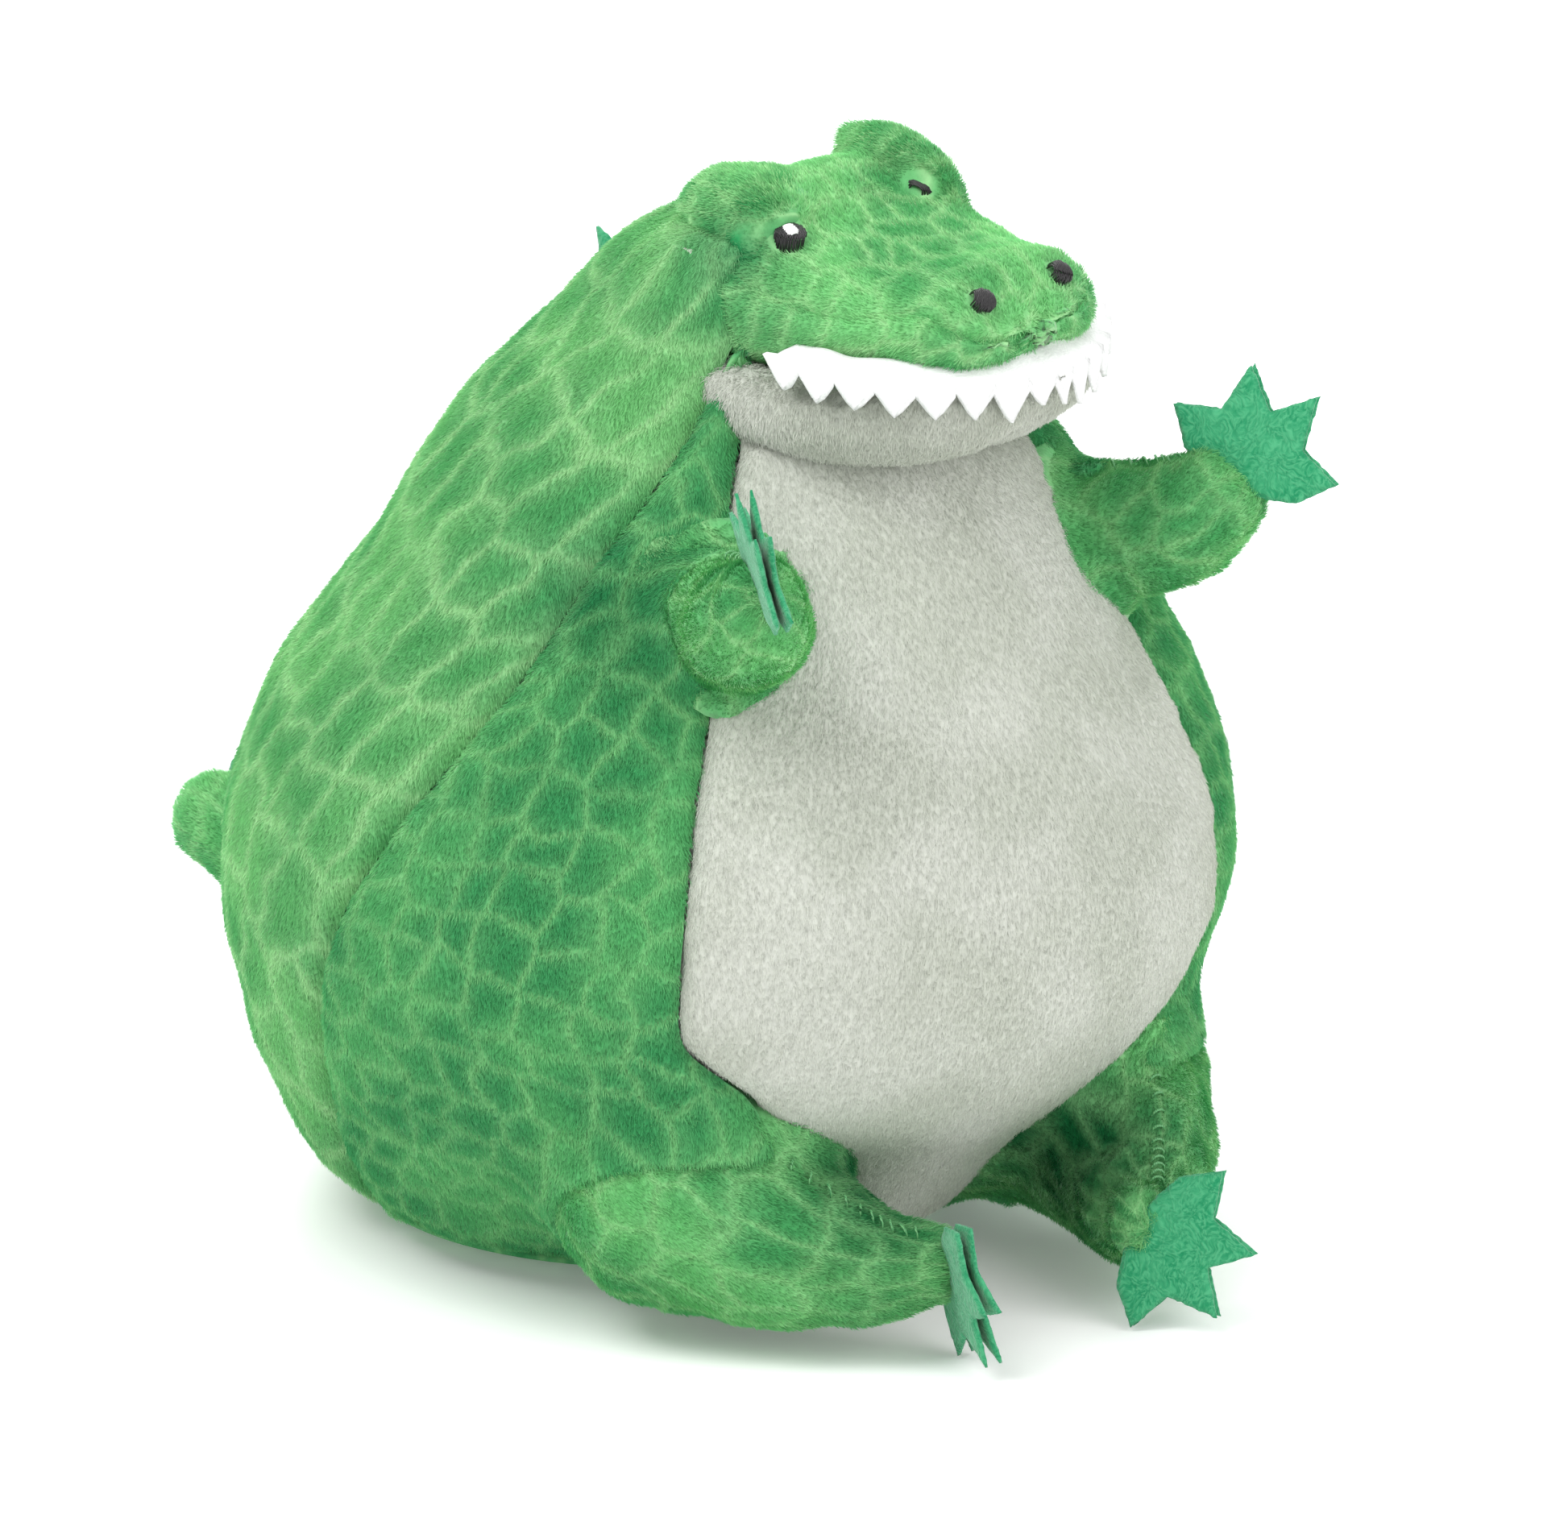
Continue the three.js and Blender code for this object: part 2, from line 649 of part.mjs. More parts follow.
// The pellet bag is a low cushion inside the filling.
const BAG_STATIONS = [
  [4, 30], [9, 42], [17, 44], [25, 38], [29, 24],
];
function pelletBag(grow) {
  const middle = BODY_STATIONS[0][1] - 2;
  const rings = BAG_STATIONS.map(([z, r], i) => {
    const lift = i === 0 ? -grow : 0;
    const raise = i === BAG_STATIONS.length - 1 ? grow : 0;
    return Array.from({ length: 28 }, (unused, k) => {
      const a = (k * 2 * Math.PI) / 28;
      return v3((r + grow) * Math.sin(a), middle - (r + grow) * Math.cos(a), z + lift + raise);
    });
  });
  return fromRings(v3(0, middle, 4 - grow), rings, v3(0, middle, 30 + grow));
}
add('pellet_bag', pelletBag(0), BAG);
// The filling stays clear of the seat panel's rim; the bag sits in a pocket open below.
const bagWell = toSolid(pelletBag(GAP)).add(toSolid(new THREE.CylinderGeometry(20, 20, 8, 24)
  .rotateX(Math.PI / 2).translate(0, BODY_STATIONS[0][1] - 2, 4)));
const bodyFilling = innerBody(PLUSH + FILL_GAP + FACET_ROOM, 28, 14);
add('body_stuffing', cut(bodyFilling, [...bodyTools, bagWell]), FIBRE);

// ---- head and jaw ----
const headFront = 0.97;
const topEdge = 62;
const CHEEK_GAP = 2.6;             // degrees of open seam between the top and cheek panels
add('head_top_panel', headPanel(headCurve, -topEdge, topEdge, 0.08, headFront, 10, 12), GREEN);
SIDES.forEach(([sideName, side]) => {
  add(`cheek_panel_${sideName}`, headPanel(
    headCurve, side * (topEdge + CHEEK_GAP), side * 116, 0.08, headFront - 0.02, 3, 12), GREEN);
});

const upperHead = toSolid(headCore(headCurve, -FILL_GAP, 0, 1, 30, 18));
// The jaw panel is a trough: its rim lies under the teeth and the upper head.
const jawTrough = headPanel(jawCurve, 40, 320, 0.1, 0.985, 16, 9);
add('jaw_panel', cut(jawTrough, [upperHead]), PALE);
const jawFilling = headCore(jawCurve, THIN_PLUSH + FILL_GAP, 0.12, 0.95, 16, 8);
add('jaw_stuffing', cut(jawFilling, [upperHead]), FIBRE);
add('head_stuffing', headCore(headCurve, THIN_PLUSH + FILL_GAP, 0.1, 0.94, 16, 9), FIBRE);

function teethStrip() {
  const columns = TEETH * 2;
  const grid = (out) => STRIP_ROWS.map(([half, reach, height], row) => (
    Array.from({ length: columns + 1 }, (unused, c) => {
      const across = (2 * c) / columns - 1;
      const sine = Math.sin(across * STRIP_SPREAD * RAD);
      const left = (half + out) * Math.sign(sine) * Math.abs(sine) ** 1.2;
      const forward = STRIP_BACK + (reach + out) * Math.cos(across * STRIP_SPREAD * RAD);
      const tooth = row === STRIP_ROWS.length - 1 && c % 2 === 1 ? TOOTH_HEIGHT : 0;
      return fromHead(left, forward, height + STRIP_RISE * Math.abs(across) ** 3 - tooth);
    })));
  return fromGrids(grid(FELT), grid(0));
}
const jawWhole = toSolid(headCore(jawCurve, -GAP, 0, 1, 20, 9));
add('teeth_strip', cut(teethStrip(), [upperHead, jawWhole]), FELT_WHITE);

// A point of the upper head's outside, found by forward distance and sideways angle.
function headSpot(side, forward, angle) {
  const t = placeOf(headCurve[0], forward);
  const centre = sectionPoint(headCurve, side * angle, t, 0);
  const beside = sectionPoint(headCurve, side * (angle + 4), t, 0).sub(centre);
  const ahead = sectionPoint(headCurve, side * angle, t + 0.02, 0).sub(centre);
  return { centre, normal: ahead.cross(beside).multiplyScalar(side).normalize() };
}

SIDES.forEach(([sideName, side]) => {
  const eye = headSpot(side, ...EYE_PLACE);
  const eyeRoom = toSolid(disc(eye.centre, eye.normal, 3.6, 4.4, 9, 0));
  add(`brow_${sideName}`, cut(brow(BROWS[sideName], 0), [upperHead, eyeRoom]), DARK_GREEN);
  add(`eye_${sideName}`, disc(eye.centre, eye.normal, 2.6, 3.4, 1, GAP * 2), THREAD_BLACK);
  add(`eye_highlight_${sideName}`, disc(eye.centre, eye.normal, 0.9, 1.2, 0.5, 1 + GAP * 3), THREAD_WHITE);
  const nostril = headSpot(side, ...NOSTRIL_PLACE);
  add(`nostril_${sideName}`, disc(nostril.centre, nostril.normal, 2.3, 2.6, 0.9, GAP * 2), THREAD_BLACK);
});

// ---- spikes ----
// A felt triangle standing on its root point, in the plane of `along` and `out`.
function spike(root, along, out, base, height) {
  const shape = new THREE.Shape();
  shape.moveTo(-base / 2, 0);
  shape.lineTo(base / 2, 0);
  shape.lineTo(base * 0.1, height);
  const geometry = new THREE.ExtrudeGeometry(shape, { depth: FELT, bevelEnabled: false });
  geometry.translate(0, 0, -FELT / 2);
  const y = out.clone().normalize();
  const x = along.clone().addScaledVector(y, -along.dot(y)).normalize();
  geometry.applyMatrix4(new THREE.Matrix4().makeBasis(x, y, x.clone().cross(y)).setPosition(root));
  geometry.deleteAttribute('normal');
  geometry.deleteAttribute('uv');
  return facingOut(mergeVertices(geometry, 1e-5));
}

const SPINE_SPIKES = 6;
const SPINE_TOP = 164;
const SPINE_BOTTOM = 66;
for (let i = 0; i < SPINE_SPIKES; i += 1) {
  const t = placeOf(bodyCurve[0], lerp(SPINE_TOP, SPINE_BOTTOM, i / (SPINE_SPIKES - 1)));
  const root = bodySkin(180, t);
  const up = bodySkin(180, t + 0.01).sub(bodySkin(180, t - 0.01)).normalize();
  const out = v3(0, up.z, -up.y);
  const place = root.clone().addScaledVector(out, GAP * 2);
  add(`spine_spike_${i + 1}`, spike(place, up, out, 11, 9), FELT_GREEN);
}

function addTailSpikes(limb) {
  const path = new THREE.CatmullRomCurve3(limb.stations.map((s) => v3(...s.at)));
  [0.55, 0.93].forEach((t, i) => {
    const along = path.getTangent(t);
    const out = UP.clone().addScaledVector(along, -along.z).normalize();
    const radius = lerp(13, 10, t);
    const root = path.getPoint(t).addScaledVector(out, radius + GAP * 4);
    add(`tail_spike_${i + 1}`, spike(root, along, out, 8, 6.5), FELT_GREEN);
  });
}

// ---- limbs ----
LIMBS.forEach((limb) => {
  const { name, stations } = limb;
  const isTail = name === 'tail';
  const skin = isTail ? 'tail_skin' : `${name}_sleeve`;
  add(skin, sleeve(stations, 14), GREEN);
  add(`${name}_stuffing`, limbCore(stations, THIN_PLUSH + FILL_GAP, 10), FIBRE);
  if (isTail) {
    addTailSpikes(limb);
    return;
  }
  const { pawRoot, along, normal } = limb;
  const sleeveSpaces = [-FLAP_LIMIT, 0, FLAP_LIMIT].map((angle) => flappedSleeve(limb, angle));
  [['front', GAP / 2], ['back', -GAP / 2 - FELT]].forEach(([layer, offset]) => {
    const felt = cut(pawLayer(pawRoot, along, normal, offset), sleeveSpaces);
    add(`${name}_felt_${layer}`, felt, FELT_GREEN);
  });
});

const part = new THREE.Group();
part.add(toy);

export default part;
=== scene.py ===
# A fat seated plush alligator: stuffed plush panels with short pile, felt paws, spikes and teeth,
# and embroidered eyes and nostrils. Lengths are in millimetres until they go into a mesh.
import json
import math
import bpy
import numpy as np
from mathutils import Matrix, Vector
from mathutils.geometry import delaunay_2d_cdt


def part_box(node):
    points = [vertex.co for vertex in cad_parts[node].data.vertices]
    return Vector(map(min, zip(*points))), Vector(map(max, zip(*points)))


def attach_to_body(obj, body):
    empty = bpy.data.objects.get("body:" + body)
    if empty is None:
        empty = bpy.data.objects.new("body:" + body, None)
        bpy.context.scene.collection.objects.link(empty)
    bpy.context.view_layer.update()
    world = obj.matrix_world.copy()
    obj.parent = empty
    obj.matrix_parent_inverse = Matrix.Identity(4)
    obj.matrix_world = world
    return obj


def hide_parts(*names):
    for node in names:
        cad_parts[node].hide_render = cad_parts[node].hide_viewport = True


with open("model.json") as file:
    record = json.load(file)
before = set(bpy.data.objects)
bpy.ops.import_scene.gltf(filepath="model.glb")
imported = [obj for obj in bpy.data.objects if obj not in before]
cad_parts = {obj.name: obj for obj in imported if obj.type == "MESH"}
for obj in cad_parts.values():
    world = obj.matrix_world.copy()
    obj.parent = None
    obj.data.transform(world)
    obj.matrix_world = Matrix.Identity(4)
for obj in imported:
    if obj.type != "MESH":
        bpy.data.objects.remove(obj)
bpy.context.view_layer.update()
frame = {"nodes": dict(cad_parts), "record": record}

MM = 0.001
SEAT_MIDDLE = 21.0                # the seat's middle in the pattern's own frame, which has the body axis at 0
seat_low, seat_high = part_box("seat_panel")
SHIFT = np.array([0.0, (seat_low[1] + seat_high[1]) / 2 - SEAT_MIDDLE * MM, 0.0])

# ---- sizes ----
STEP = 5.0                        # coarse grid, for the cloth
FINE = 4                          # each coarse square is this many fine ones across
PILE_ROOM = 1.2                   # the cloth's face lies this far inside the outside of the pile
BACKING = 1.2                     # thickness of a panel without its pile
PUFF = 1.6                        # how far a panel's middle stands above its seams before it is stuffed
CROWN_REACH = 7.0                 # how far from a seam a panel reaches about two thirds of that
SEAM_DEPTH = 1.3                  # how far a seam is drawn in below the panels beside it
SEAM_REACH = 2.2                  # how far from the seam that dip reaches
HEAD_TURN = math.radians(13)      # how far the head looks to its left
FELT = 1.3                        # one layer of felt
GAP = 0.35                        # air between felt pieces that lie together
PILE = 1.7                        # length of a plush strand
PILE_DENSITY = 7.0   # strands in a square millimetre

# Height, middle's Y, half-width, depth in front, depth behind.
BODY_STATIONS = [
    [0, 21, 46.5, 46.5, 46.5], [3.5, 20, 55.5, 55, 56], [12, 18, 63, 62, 63], [25, 13, 71.5, 71, 70.5],
    [42, 5, 81.5, 82, 80.5], [62, 1, 87.5, 88.5, 87], [82, -1, 86.5, 87.5, 86.5], [104, -3, 78, 77.5, 77.5],
    [125, -6.5, 65, 64, 65.5], [140, -9, 57, 54, 60.5], [152, -12, 48.5, 43, 56], [165, -17, 39, 31, 48],
    [179, -21, 31, 22, 38], [190, -21, 23, 15, 23], [196, -21, 10, 7, 10],
]
# Forward distance, middle's height, half-width, height above the middle, depth below it.
HEAD_STATIONS = [
    [4, 175, 15, 12, 8], [10, 175, 25, 19, 10], [19.5, 175, 31, 21.5, 10], [28, 176, 32.5, 15, 9.5],
    [36, 177, 32, 11.5, 9], [46, 177, 29.5, 9.5, 7.5], [54, 177, 26, 10.5, 7], [60, 177.5, 24, 11, 7.5],
    [64.5, 177.5, 22, 8.5, 7], [68.5, 177, 18.5, 4.5, 6], [71.5, 176.5, 10, 2, 3.5],
]
JAW_STATIONS = [
    [14, 165, 31, 7, 8], [20, 164.5, 36.5, 9, 10.5], [30, 163.5, 38, 9.5, 12], [42, 163.5, 37, 9, 13],
    [54, 164.5, 32.5, 8.5, 12.5], [64, 166.5, 25, 7.5, 11], [70, 168, 17, 6, 9], [74, 169, 8, 3, 5],
]
# Height and angle from the front, in degrees, of the seam round the belly and of the one up the side.
BELLY_SEAM = [[0, 26], [17, 26.5], [34, 28], [46, 33], [58, 42], [80, 43], [120, 42], [196, 42]]
SIDE_SEAM = [[0, 100], [12, 99], [50, 94.5], [71, 90.5], [90, 84], [114, 75], [135, 68.5], [159, 57],
             [179, 50], [196, 50]]
CHEEK_SEAM = 62                   # degrees from straight up to the seams between the head's top and cheeks
CHEEK_END = 177                   # and to where the cheek panels end, under the snout
# Centre and radius along each limb, for the toy's left side.
ARM = dict(at=[[36, -42, 128.5], [44.5, -55, 131.5], [51, -64.5, 135.5], [55, -70, 141]],
           r=[14, 13.5, 12.5, 10], bulge=3,
           along=[0.39, -0.18, 0.92], normal=[-0.75, -0.6, 0.2], turn=13, paw_turn=0)
LEG = dict(at=[[43, -44, 27], [39, -61, 21], [31, -76, 17], [25, -86, 17.4]],
           r=[24.5, 18.5, 12.5, 8.6], bulge=3,
           along=[0.48, -0.76, -0.46], normal=[-0.75, -0.6, 0.2], turn=10, paw_turn=12)
TAIL = dict(at=[[0, 76, 32], [-1.5, 98, 33], [-5, 120, 34.5], [-8, 136.5, 39]],
            r=[14.5, 13, 11.8, 10], bulge=8)
PAW_GAP = 2.2                     # from a limb's rounded end to the sewn edge of its paw
PATH_TENSION, TABLE_TENSION = 0.5, 0.35
FLAT_POWER, ROUND_POWER = 0.6, 0.85    # how square the head's sections are, toward the mouth and away from it


# Each brow lobe: its middle and radii on the head, and how far its front is tipped down.
BROWS = {1: (np.array([21, 20.5, 190]), np.array([7, 14.5, 8.5]), math.radians(12)),
         -1: (np.array([-14, 15.5, 190.5]), np.array([11, 13, 8.5]), 0.0)}


# ---- curves and grids ----
def hermite(before, start, stop, after, f, tension=PATH_TENSION):
    """Values at f, from 0 to 1, between start and stop on a smooth curve through all four."""
    a, b = tension * (stop - before), tension * (after - start)
    return start + a * f + (3 * (stop - start) - 2 * a - b) * f**2 + (2 * (start - stop) + a + b) * f**3


def catmull(values, t, tension):
    """Values at places t, from 0 to 1, on a smooth curve through evenly spaced values."""
    values = np.asarray(values, float)
    last = len(values) - 1
    place = np.clip(np.asarray(t, float), 0, 1) * last
    i = np.minimum(place.astype(int), last - 1)
    f = (place - i).reshape(i.shape + (1,) * (values.ndim - 1))
    padded = np.concatenate([[2 * values[0] - values[1]], values, [2 * values[-1] - values[-2]]])
    return hermite(*(padded[i + k] for k in range(4)), f, tension)


def stations(table, t):
    """The columns of a station table at places t along it."""
    return np.moveaxis(catmull(table, t, TABLE_TENSION), -1, 0)


def path_at(limb, t):
    return catmull(limb["at"], t, PATH_TENSION)


def radius_at(limb, t):
    return catmull(limb["r"], t, TABLE_TENSION)


def place_of(table, value):
    """The place along a station table where its first column reaches a value."""
    t = np.linspace(0, 1, 2001)
    return np.interp(value, stations(table, t)[0], t)


def cubic(values, factor, axis, wrap):
    """A grid made finer along one axis, on smooth curves."""
    v = np.moveaxis(values, axis, 0)
    n = len(v)
    segments = n if wrap else n - 1
    place = np.arange(segments * factor + (0 if wrap else 1)) / factor
    i = np.minimum(place.astype(int), segments - 1)
    f = (place - i).reshape((-1,) + (1,) * (v.ndim - 1))
    pick = (lambda k: v[(i + k) % n]) if wrap else (lambda k: v[np.clip(i + k, 0, n - 1)])
    return np.moveaxis(hermite(*map(pick, (-1, 0, 1, 2)), f), 0, axis)


def unit(v):
    return v / np.maximum(np.linalg.norm(v, axis=-1, keepdims=True), 1e-9)


def slope(grid, axis, wrap):
    if not wrap:
        return np.gradient(grid, axis=axis)
    return np.roll(grid, -1, axis) - np.roll(grid, 1, axis)


def grid_normals(grid, wrap=False):
    return unit(np.cross(slope(grid, 1, wrap), slope(grid, 0, False)))


def outward(grid, inside, wrap=False):
    """The grid with its columns in the order that makes its faces look away from a point inside."""
    r, c = grid.shape[0] // 2, grid.shape[1] // 2
    looks = np.dot(grid_normals(grid, wrap)[r, c], grid[r, c] - inside)
    return grid if looks > 0 else grid[:, ::-1]


def grid_faces(rows, columns, wrap=False):
    r, c = np.meshgrid(np.arange(rows - 1), np.arange(columns if wrap else columns - 1), indexing="ij")
    right = (c + 1) % columns
    return np.stack([r * columns + c, r * columns + right, (r + 1) * columns + right, (r + 1) * columns + c],
                    -1).reshape(-1, 4)


def flat_places(grid, wrap):
    """Where each point of a grid was on the printed cloth: its distances along it, across and up."""
    def run(axis):
        steps = np.linalg.norm(np.diff(grid, axis=axis), axis=-1)
        zero = np.zeros_like(np.take(steps, [0], axis))
        return np.cumsum(np.concatenate([zero, steps], axis), axis)
    across = run(1)
    if not wrap:
        across = across - across[:, [across.shape[1] // 2]]
    return np.stack([across, run(0)], -1)


def edge_gaps(grid):
    """How far each point of a grid is, along the cloth, from its bottom, top, left and right edges."""
    across, up = np.moveaxis(flat_places(grid, False), -1, 0)
    return [up, up[-1:] - up, across - across[:, :1], across[:, -1:] - across]


def waves(points, wavelength, seed, count=16):
    """Smooth noise, about -1 to 1, from a few waves in fixed random directions."""
    random = np.random.default_rng(seed)
    heading = unit(random.normal(size=(count, 3))) * (2 * math.pi / wavelength)
    heading = heading * random.uniform(0.7, 1.4, (count, 1))
    phase = random.uniform(0, 2 * math.pi, count)
    return np.sin(points @ heading.T + phase).sum(-1) / math.sqrt(count / 2) / 1.6


# ---- the toy's surfaces ----
def body_skin(angle, t):
    z, middle, side, front, back = stations(BODY_STATIONS, t)
    a = np.radians(angle)
    depth = np.where(np.cos(a) > 0, front, back)
    return np.stack([side * np.sin(a), middle - depth * np.cos(a), z + 0 * a], -1)


def seam_angle(table, t):
    height = stations(BODY_STATIONS, t)[0]
    return stations(table, place_of(table, height))[1]


def from_head(left, forward, height):
    c, s = math.cos(HEAD_TURN), math.sin(HEAD_TURN)
    return np.stack(np.broadcast_arrays(left * c + forward * s, left * s - forward * c, height), -1)


def to_head(points):
    c, s = math.cos(HEAD_TURN), math.sin(HEAD_TURN)
    x, y, z = np.moveaxis(points, -1, 0)
    return x * c + y * s, x * s - y * c, z


def section(table, angle, t):
    """A point of the upper head or the jaw: angle 0 is straight up and 90 is to the toy's left."""
    forward, middle, side, up, down = stations(table, t)
    a = np.radians(angle)
    sine, cosine = np.sin(a), np.cos(a)
    to_mouth = (cosine < 0) == (table is HEAD_STATIONS)
    power = np.where(to_mouth, FLAT_POWER, ROUND_POWER)
    height = np.where(cosine > 0, up, down)
    left = side * np.sign(sine) * np.abs(sine) ** power
    return from_head(left, forward + 0 * a, middle + height * np.sign(cosine) * np.abs(cosine) ** power)


def depth_in_section(table, points):
    """Under 1 inside the upper head or the jaw."""
    left, forward, z = to_head(points)
    t = place_of(table, forward)
    middle, side, up, down = stations(table, t)[1:]
    half = np.where(z > middle, up, down)
    power = np.where((z < middle) == (table is HEAD_STATIONS), 2 / FLAT_POWER, 2 / ROUND_POWER)
    inside = (np.abs(left) / side) ** power + (np.abs(z - middle) / half) ** power
    beyond = (forward < table[0][0]) | (forward > table[-1][0])
    return np.where(beyond, 9, inside)


def depth_in_body(points):
    """Under 1 inside the body."""
    x, y, z = np.moveaxis(points, -1, 0)
    middle, side, front, back = stations(BODY_STATIONS, place_of(BODY_STATIONS, z))[1:]
    half = np.where(y < middle, front, back)
    return np.where(z > BODY_STATIONS[-1][0], 9, np.hypot(x / side, (y - middle) / half))


def smooth_min(a, b, reach):
    blend = np.clip(0.5 + (b - a) / (2 * reach), 0, 1)
    return b + (a - b) * blend - reach * blend * (1 - blend)


def fillet(points, normals, others, most=7.0):
    """Points moved out along their normals, so that the surface flows into its neighbours in a soft corner.
    others are pairs: a neighbour's signed distance, as a function, and the reach of the corner."""
    for distance, reach in others:
        height = np.zeros(len(points))
        for _ in range(8):
            gap = smooth_min(height, distance(points + normals * height[:, None]), reach)
            height = np.clip(height - 0.7 * gap, 0, most)
        points = points + normals * height[:, None]
    return points


def body_distance(points):
    """About how far points are outside the body's cloth, under 0 inside it. The next three do this for the
    rest: a limb, a brow and the head."""
    y, z = points[..., 1], points[..., 2]
    middle, side, front, back = stations(BODY_STATIONS, place_of(BODY_STATIONS, z))[1:]
    size = (side + np.where(y < middle, front, back)) / 2
    return np.where(z > BODY_STATIONS[-1][0], 20, (depth_in_body(points) - 1) * size + PILE_ROOM)


def limb_distance(limb):
    t = np.linspace(0, 1, 60)
    path, radius = path_at(limb, t), radius_at(limb, t)

    def distance(points):
        gap = np.linalg.norm(points[:, None] - path[None], axis=-1) - radius[None]
        return gap.min(1) + PILE_ROOM
    return distance


def brow_distance(side):
    radii = BROWS[side][1]

    def distance(points):
        return (np.linalg.norm(brow_local(points, side) / radii, axis=-1) - 1) * radii.min() + 0.8
    return distance


def head_distance(points):
    return (depth_in_section(HEAD_STATIONS, points) ** 0.4 - 1) * 14 + 0.8


def brow_local(points, side):
    middle, _, tip = BROWS[side]
    left, forward, z = (value - at for value, at in zip(to_head(points), middle))
    c, s = math.cos(tip), math.sin(tip)
    return np.stack([left, forward * c - z * s, forward * s + z * c], -1)


def on_side(values, side, turn, pivot):
    """A point or direction given for the left side, on the side asked for."""
    point = np.array([values[0] * side, values[1], values[2]], float)
    if side > 0:
        return point
    c, s = math.cos(math.radians(turn)), math.sin(math.radians(turn))
    x, y, z = point - pivot
    return np.array([c * x - s * y, s * x + c * y, z]) + pivot


def limb_for(source, side):
    root = np.array(source["at"][0], float) * [side, 1, 1]
    turn = source.get("turn", 0)
    limb = dict(source, at=np.array([on_side(p, side, turn, root) for p in source["at"]]))
    if "along" in source:
        limb["along"] = on_side(source["along"], side, turn + source["paw_turn"], np.zeros(3))
        limb["normal"] = on_side(source["normal"], side, turn + source["paw_turn"], np.zeros(3))
        end = unit(limb["at"][-1] - limb["at"][-2])
        limb["paw_root"] = limb["at"][-1] + end * source["bulge"] + limb["along"] * PAW_GAP
    return limb


def limb_rings(limb, inset):
    """Rings of points from a ball about the limb's root to its rounded end."""
    at, r = limb["at"], np.array(limb["r"], float) - inset
    length = np.linalg.norm(np.diff(at, axis=0), axis=1).sum()
    t = np.linspace(0, 1, max(4, round(length / STEP)))
    path, radius = path_at(limb, t), catmull(r, t, TABLE_TENSION)
    heading = unit(np.gradient(path_at(limb, np.linspace(0, 1, 201)), axis=0))[(t * 200).astype(int)]
    rings = []
    for a in np.radians([6, 28, 50, 70]):
        rings.append((at[0] - heading[0] * r[0] * math.cos(a), heading[0], r[0] * math.sin(a)))
    rings += list(zip(path, heading, radius))
    reach = limb["bulge"] + 1.5
    for a in np.radians([25, 48, 68, 84]):
        rings.append((at[-1] + heading[-1] * reach * math.sin(a), heading[-1], r[-1] * math.cos(a)))
    sides = max(12, round(2 * math.pi * r.max() / STEP))
    turn = np.linspace(0, 2 * math.pi, sides, endpoint=False)[:, None]
    sideways = unit(np.cross([0, 0, 1.0], heading[0]))
    grid = []
    for centre, forward, size in rings:
        across = unit(sideways - forward * np.dot(sideways, forward))
        upward = np.cross(forward, across)
        grid.append(centre + size * (across * np.cos(turn) + upward * np.sin(turn)))
    return np.array(grid)


# ---- cloth ----
CLOTH_SCALE = 10                  # the cloth is simulated at ten times its size, where its stiffness suits it
CLOTH_FRAMES = 20
HELD_RINGS = 5                    # of a limb's rings, those at its root that stay where they are sewn


def inflate(points, faces, pinned, cap):
    """The stuffing pushes the cloth out while its pinned points stay, and no point moves more than cap."""
    mesh = bpy.data.meshes.new("cloth")
    mesh.from_pydata((points * MM * CLOTH_SCALE).tolist(), [], faces.tolist())
    cloth = new_object("cloth", mesh)
    scene = bpy.context.scene
    cloth.vertex_groups.new(name="pinned").add([int(i) for i in np.flatnonzero(pinned)], 1.0, "REPLACE")
    modifier = cloth.modifiers.new("Cloth", "CLOTH")
    settings = modifier.settings
    settings.vertex_group_mass = "pinned"
    settings.use_pressure = True
    settings.uniform_pressure_force = 6
    settings.mass = 0.05
    settings.tension_stiffness = settings.compression_stiffness = 5
    settings.effector_weights.gravity = 0
    settings.quality = 4
    modifier.point_cache.frame_end = CLOTH_FRAMES
    for step in range(1, CLOTH_FRAMES + 1):
        scene.frame_set(step)
    shape = cloth.evaluated_get(bpy.context.evaluated_depsgraph_get()).to_mesh()
    moved = np.empty(len(points) * 3)
    shape.vertices.foreach_get("co", moved)
    move = moved.reshape(-1, 3) / (MM * CLOTH_SCALE) - points
    bpy.data.objects.remove(cloth)
    bpy.data.meshes.remove(mesh)
    scene.frame_set(1)
    far = np.linalg.norm(move, axis=-1, keepdims=True)
    return points + move * cap * np.tanh(far / cap) / np.maximum(far, 1e-9)


# ---- meshes ----
def painted_shade_at(points):
    """Painted shade on the green, from 0 to 1: in the eye sockets and where the arms and legs join the body.
    """
    left, forward, z = to_head(points)
    side = np.abs(left)
    # Soft blobs of painted shade: in each eye socket, on each cheek, where each arm joins the body and inside
    # each leg.
    depth = 1.1 * np.exp(-(((side - 22) / 8) ** 2 + ((forward - 21) / 9) ** 2 + ((z - 186) / 8) ** 2))
    depth += 0.45 * np.exp(-(((side - 31) / 7) ** 2 + ((forward - 32) / 13) ** 2 + ((z - 177) / 8) ** 2))
    x, y = np.abs(points[..., 0]), points[..., 1]
    depth += 0.9 * np.exp(-(((x - 52) / 9) ** 2 + ((y + 30) / 16) ** 2 + ((points[..., 2] - 128) / 16) ** 2))
    depth += 1.2 * np.exp(-(((x - 25) / 15) ** 2 + ((y + 64) / 22) ** 2 + ((points[..., 2] - 26) / 15) ** 2))
    return np.clip(depth, 0, 1)


def new_object(name, data):
    obj = bpy.data.objects.new(name, data)
    bpy.context.scene.collection.objects.link(obj)
    return obj


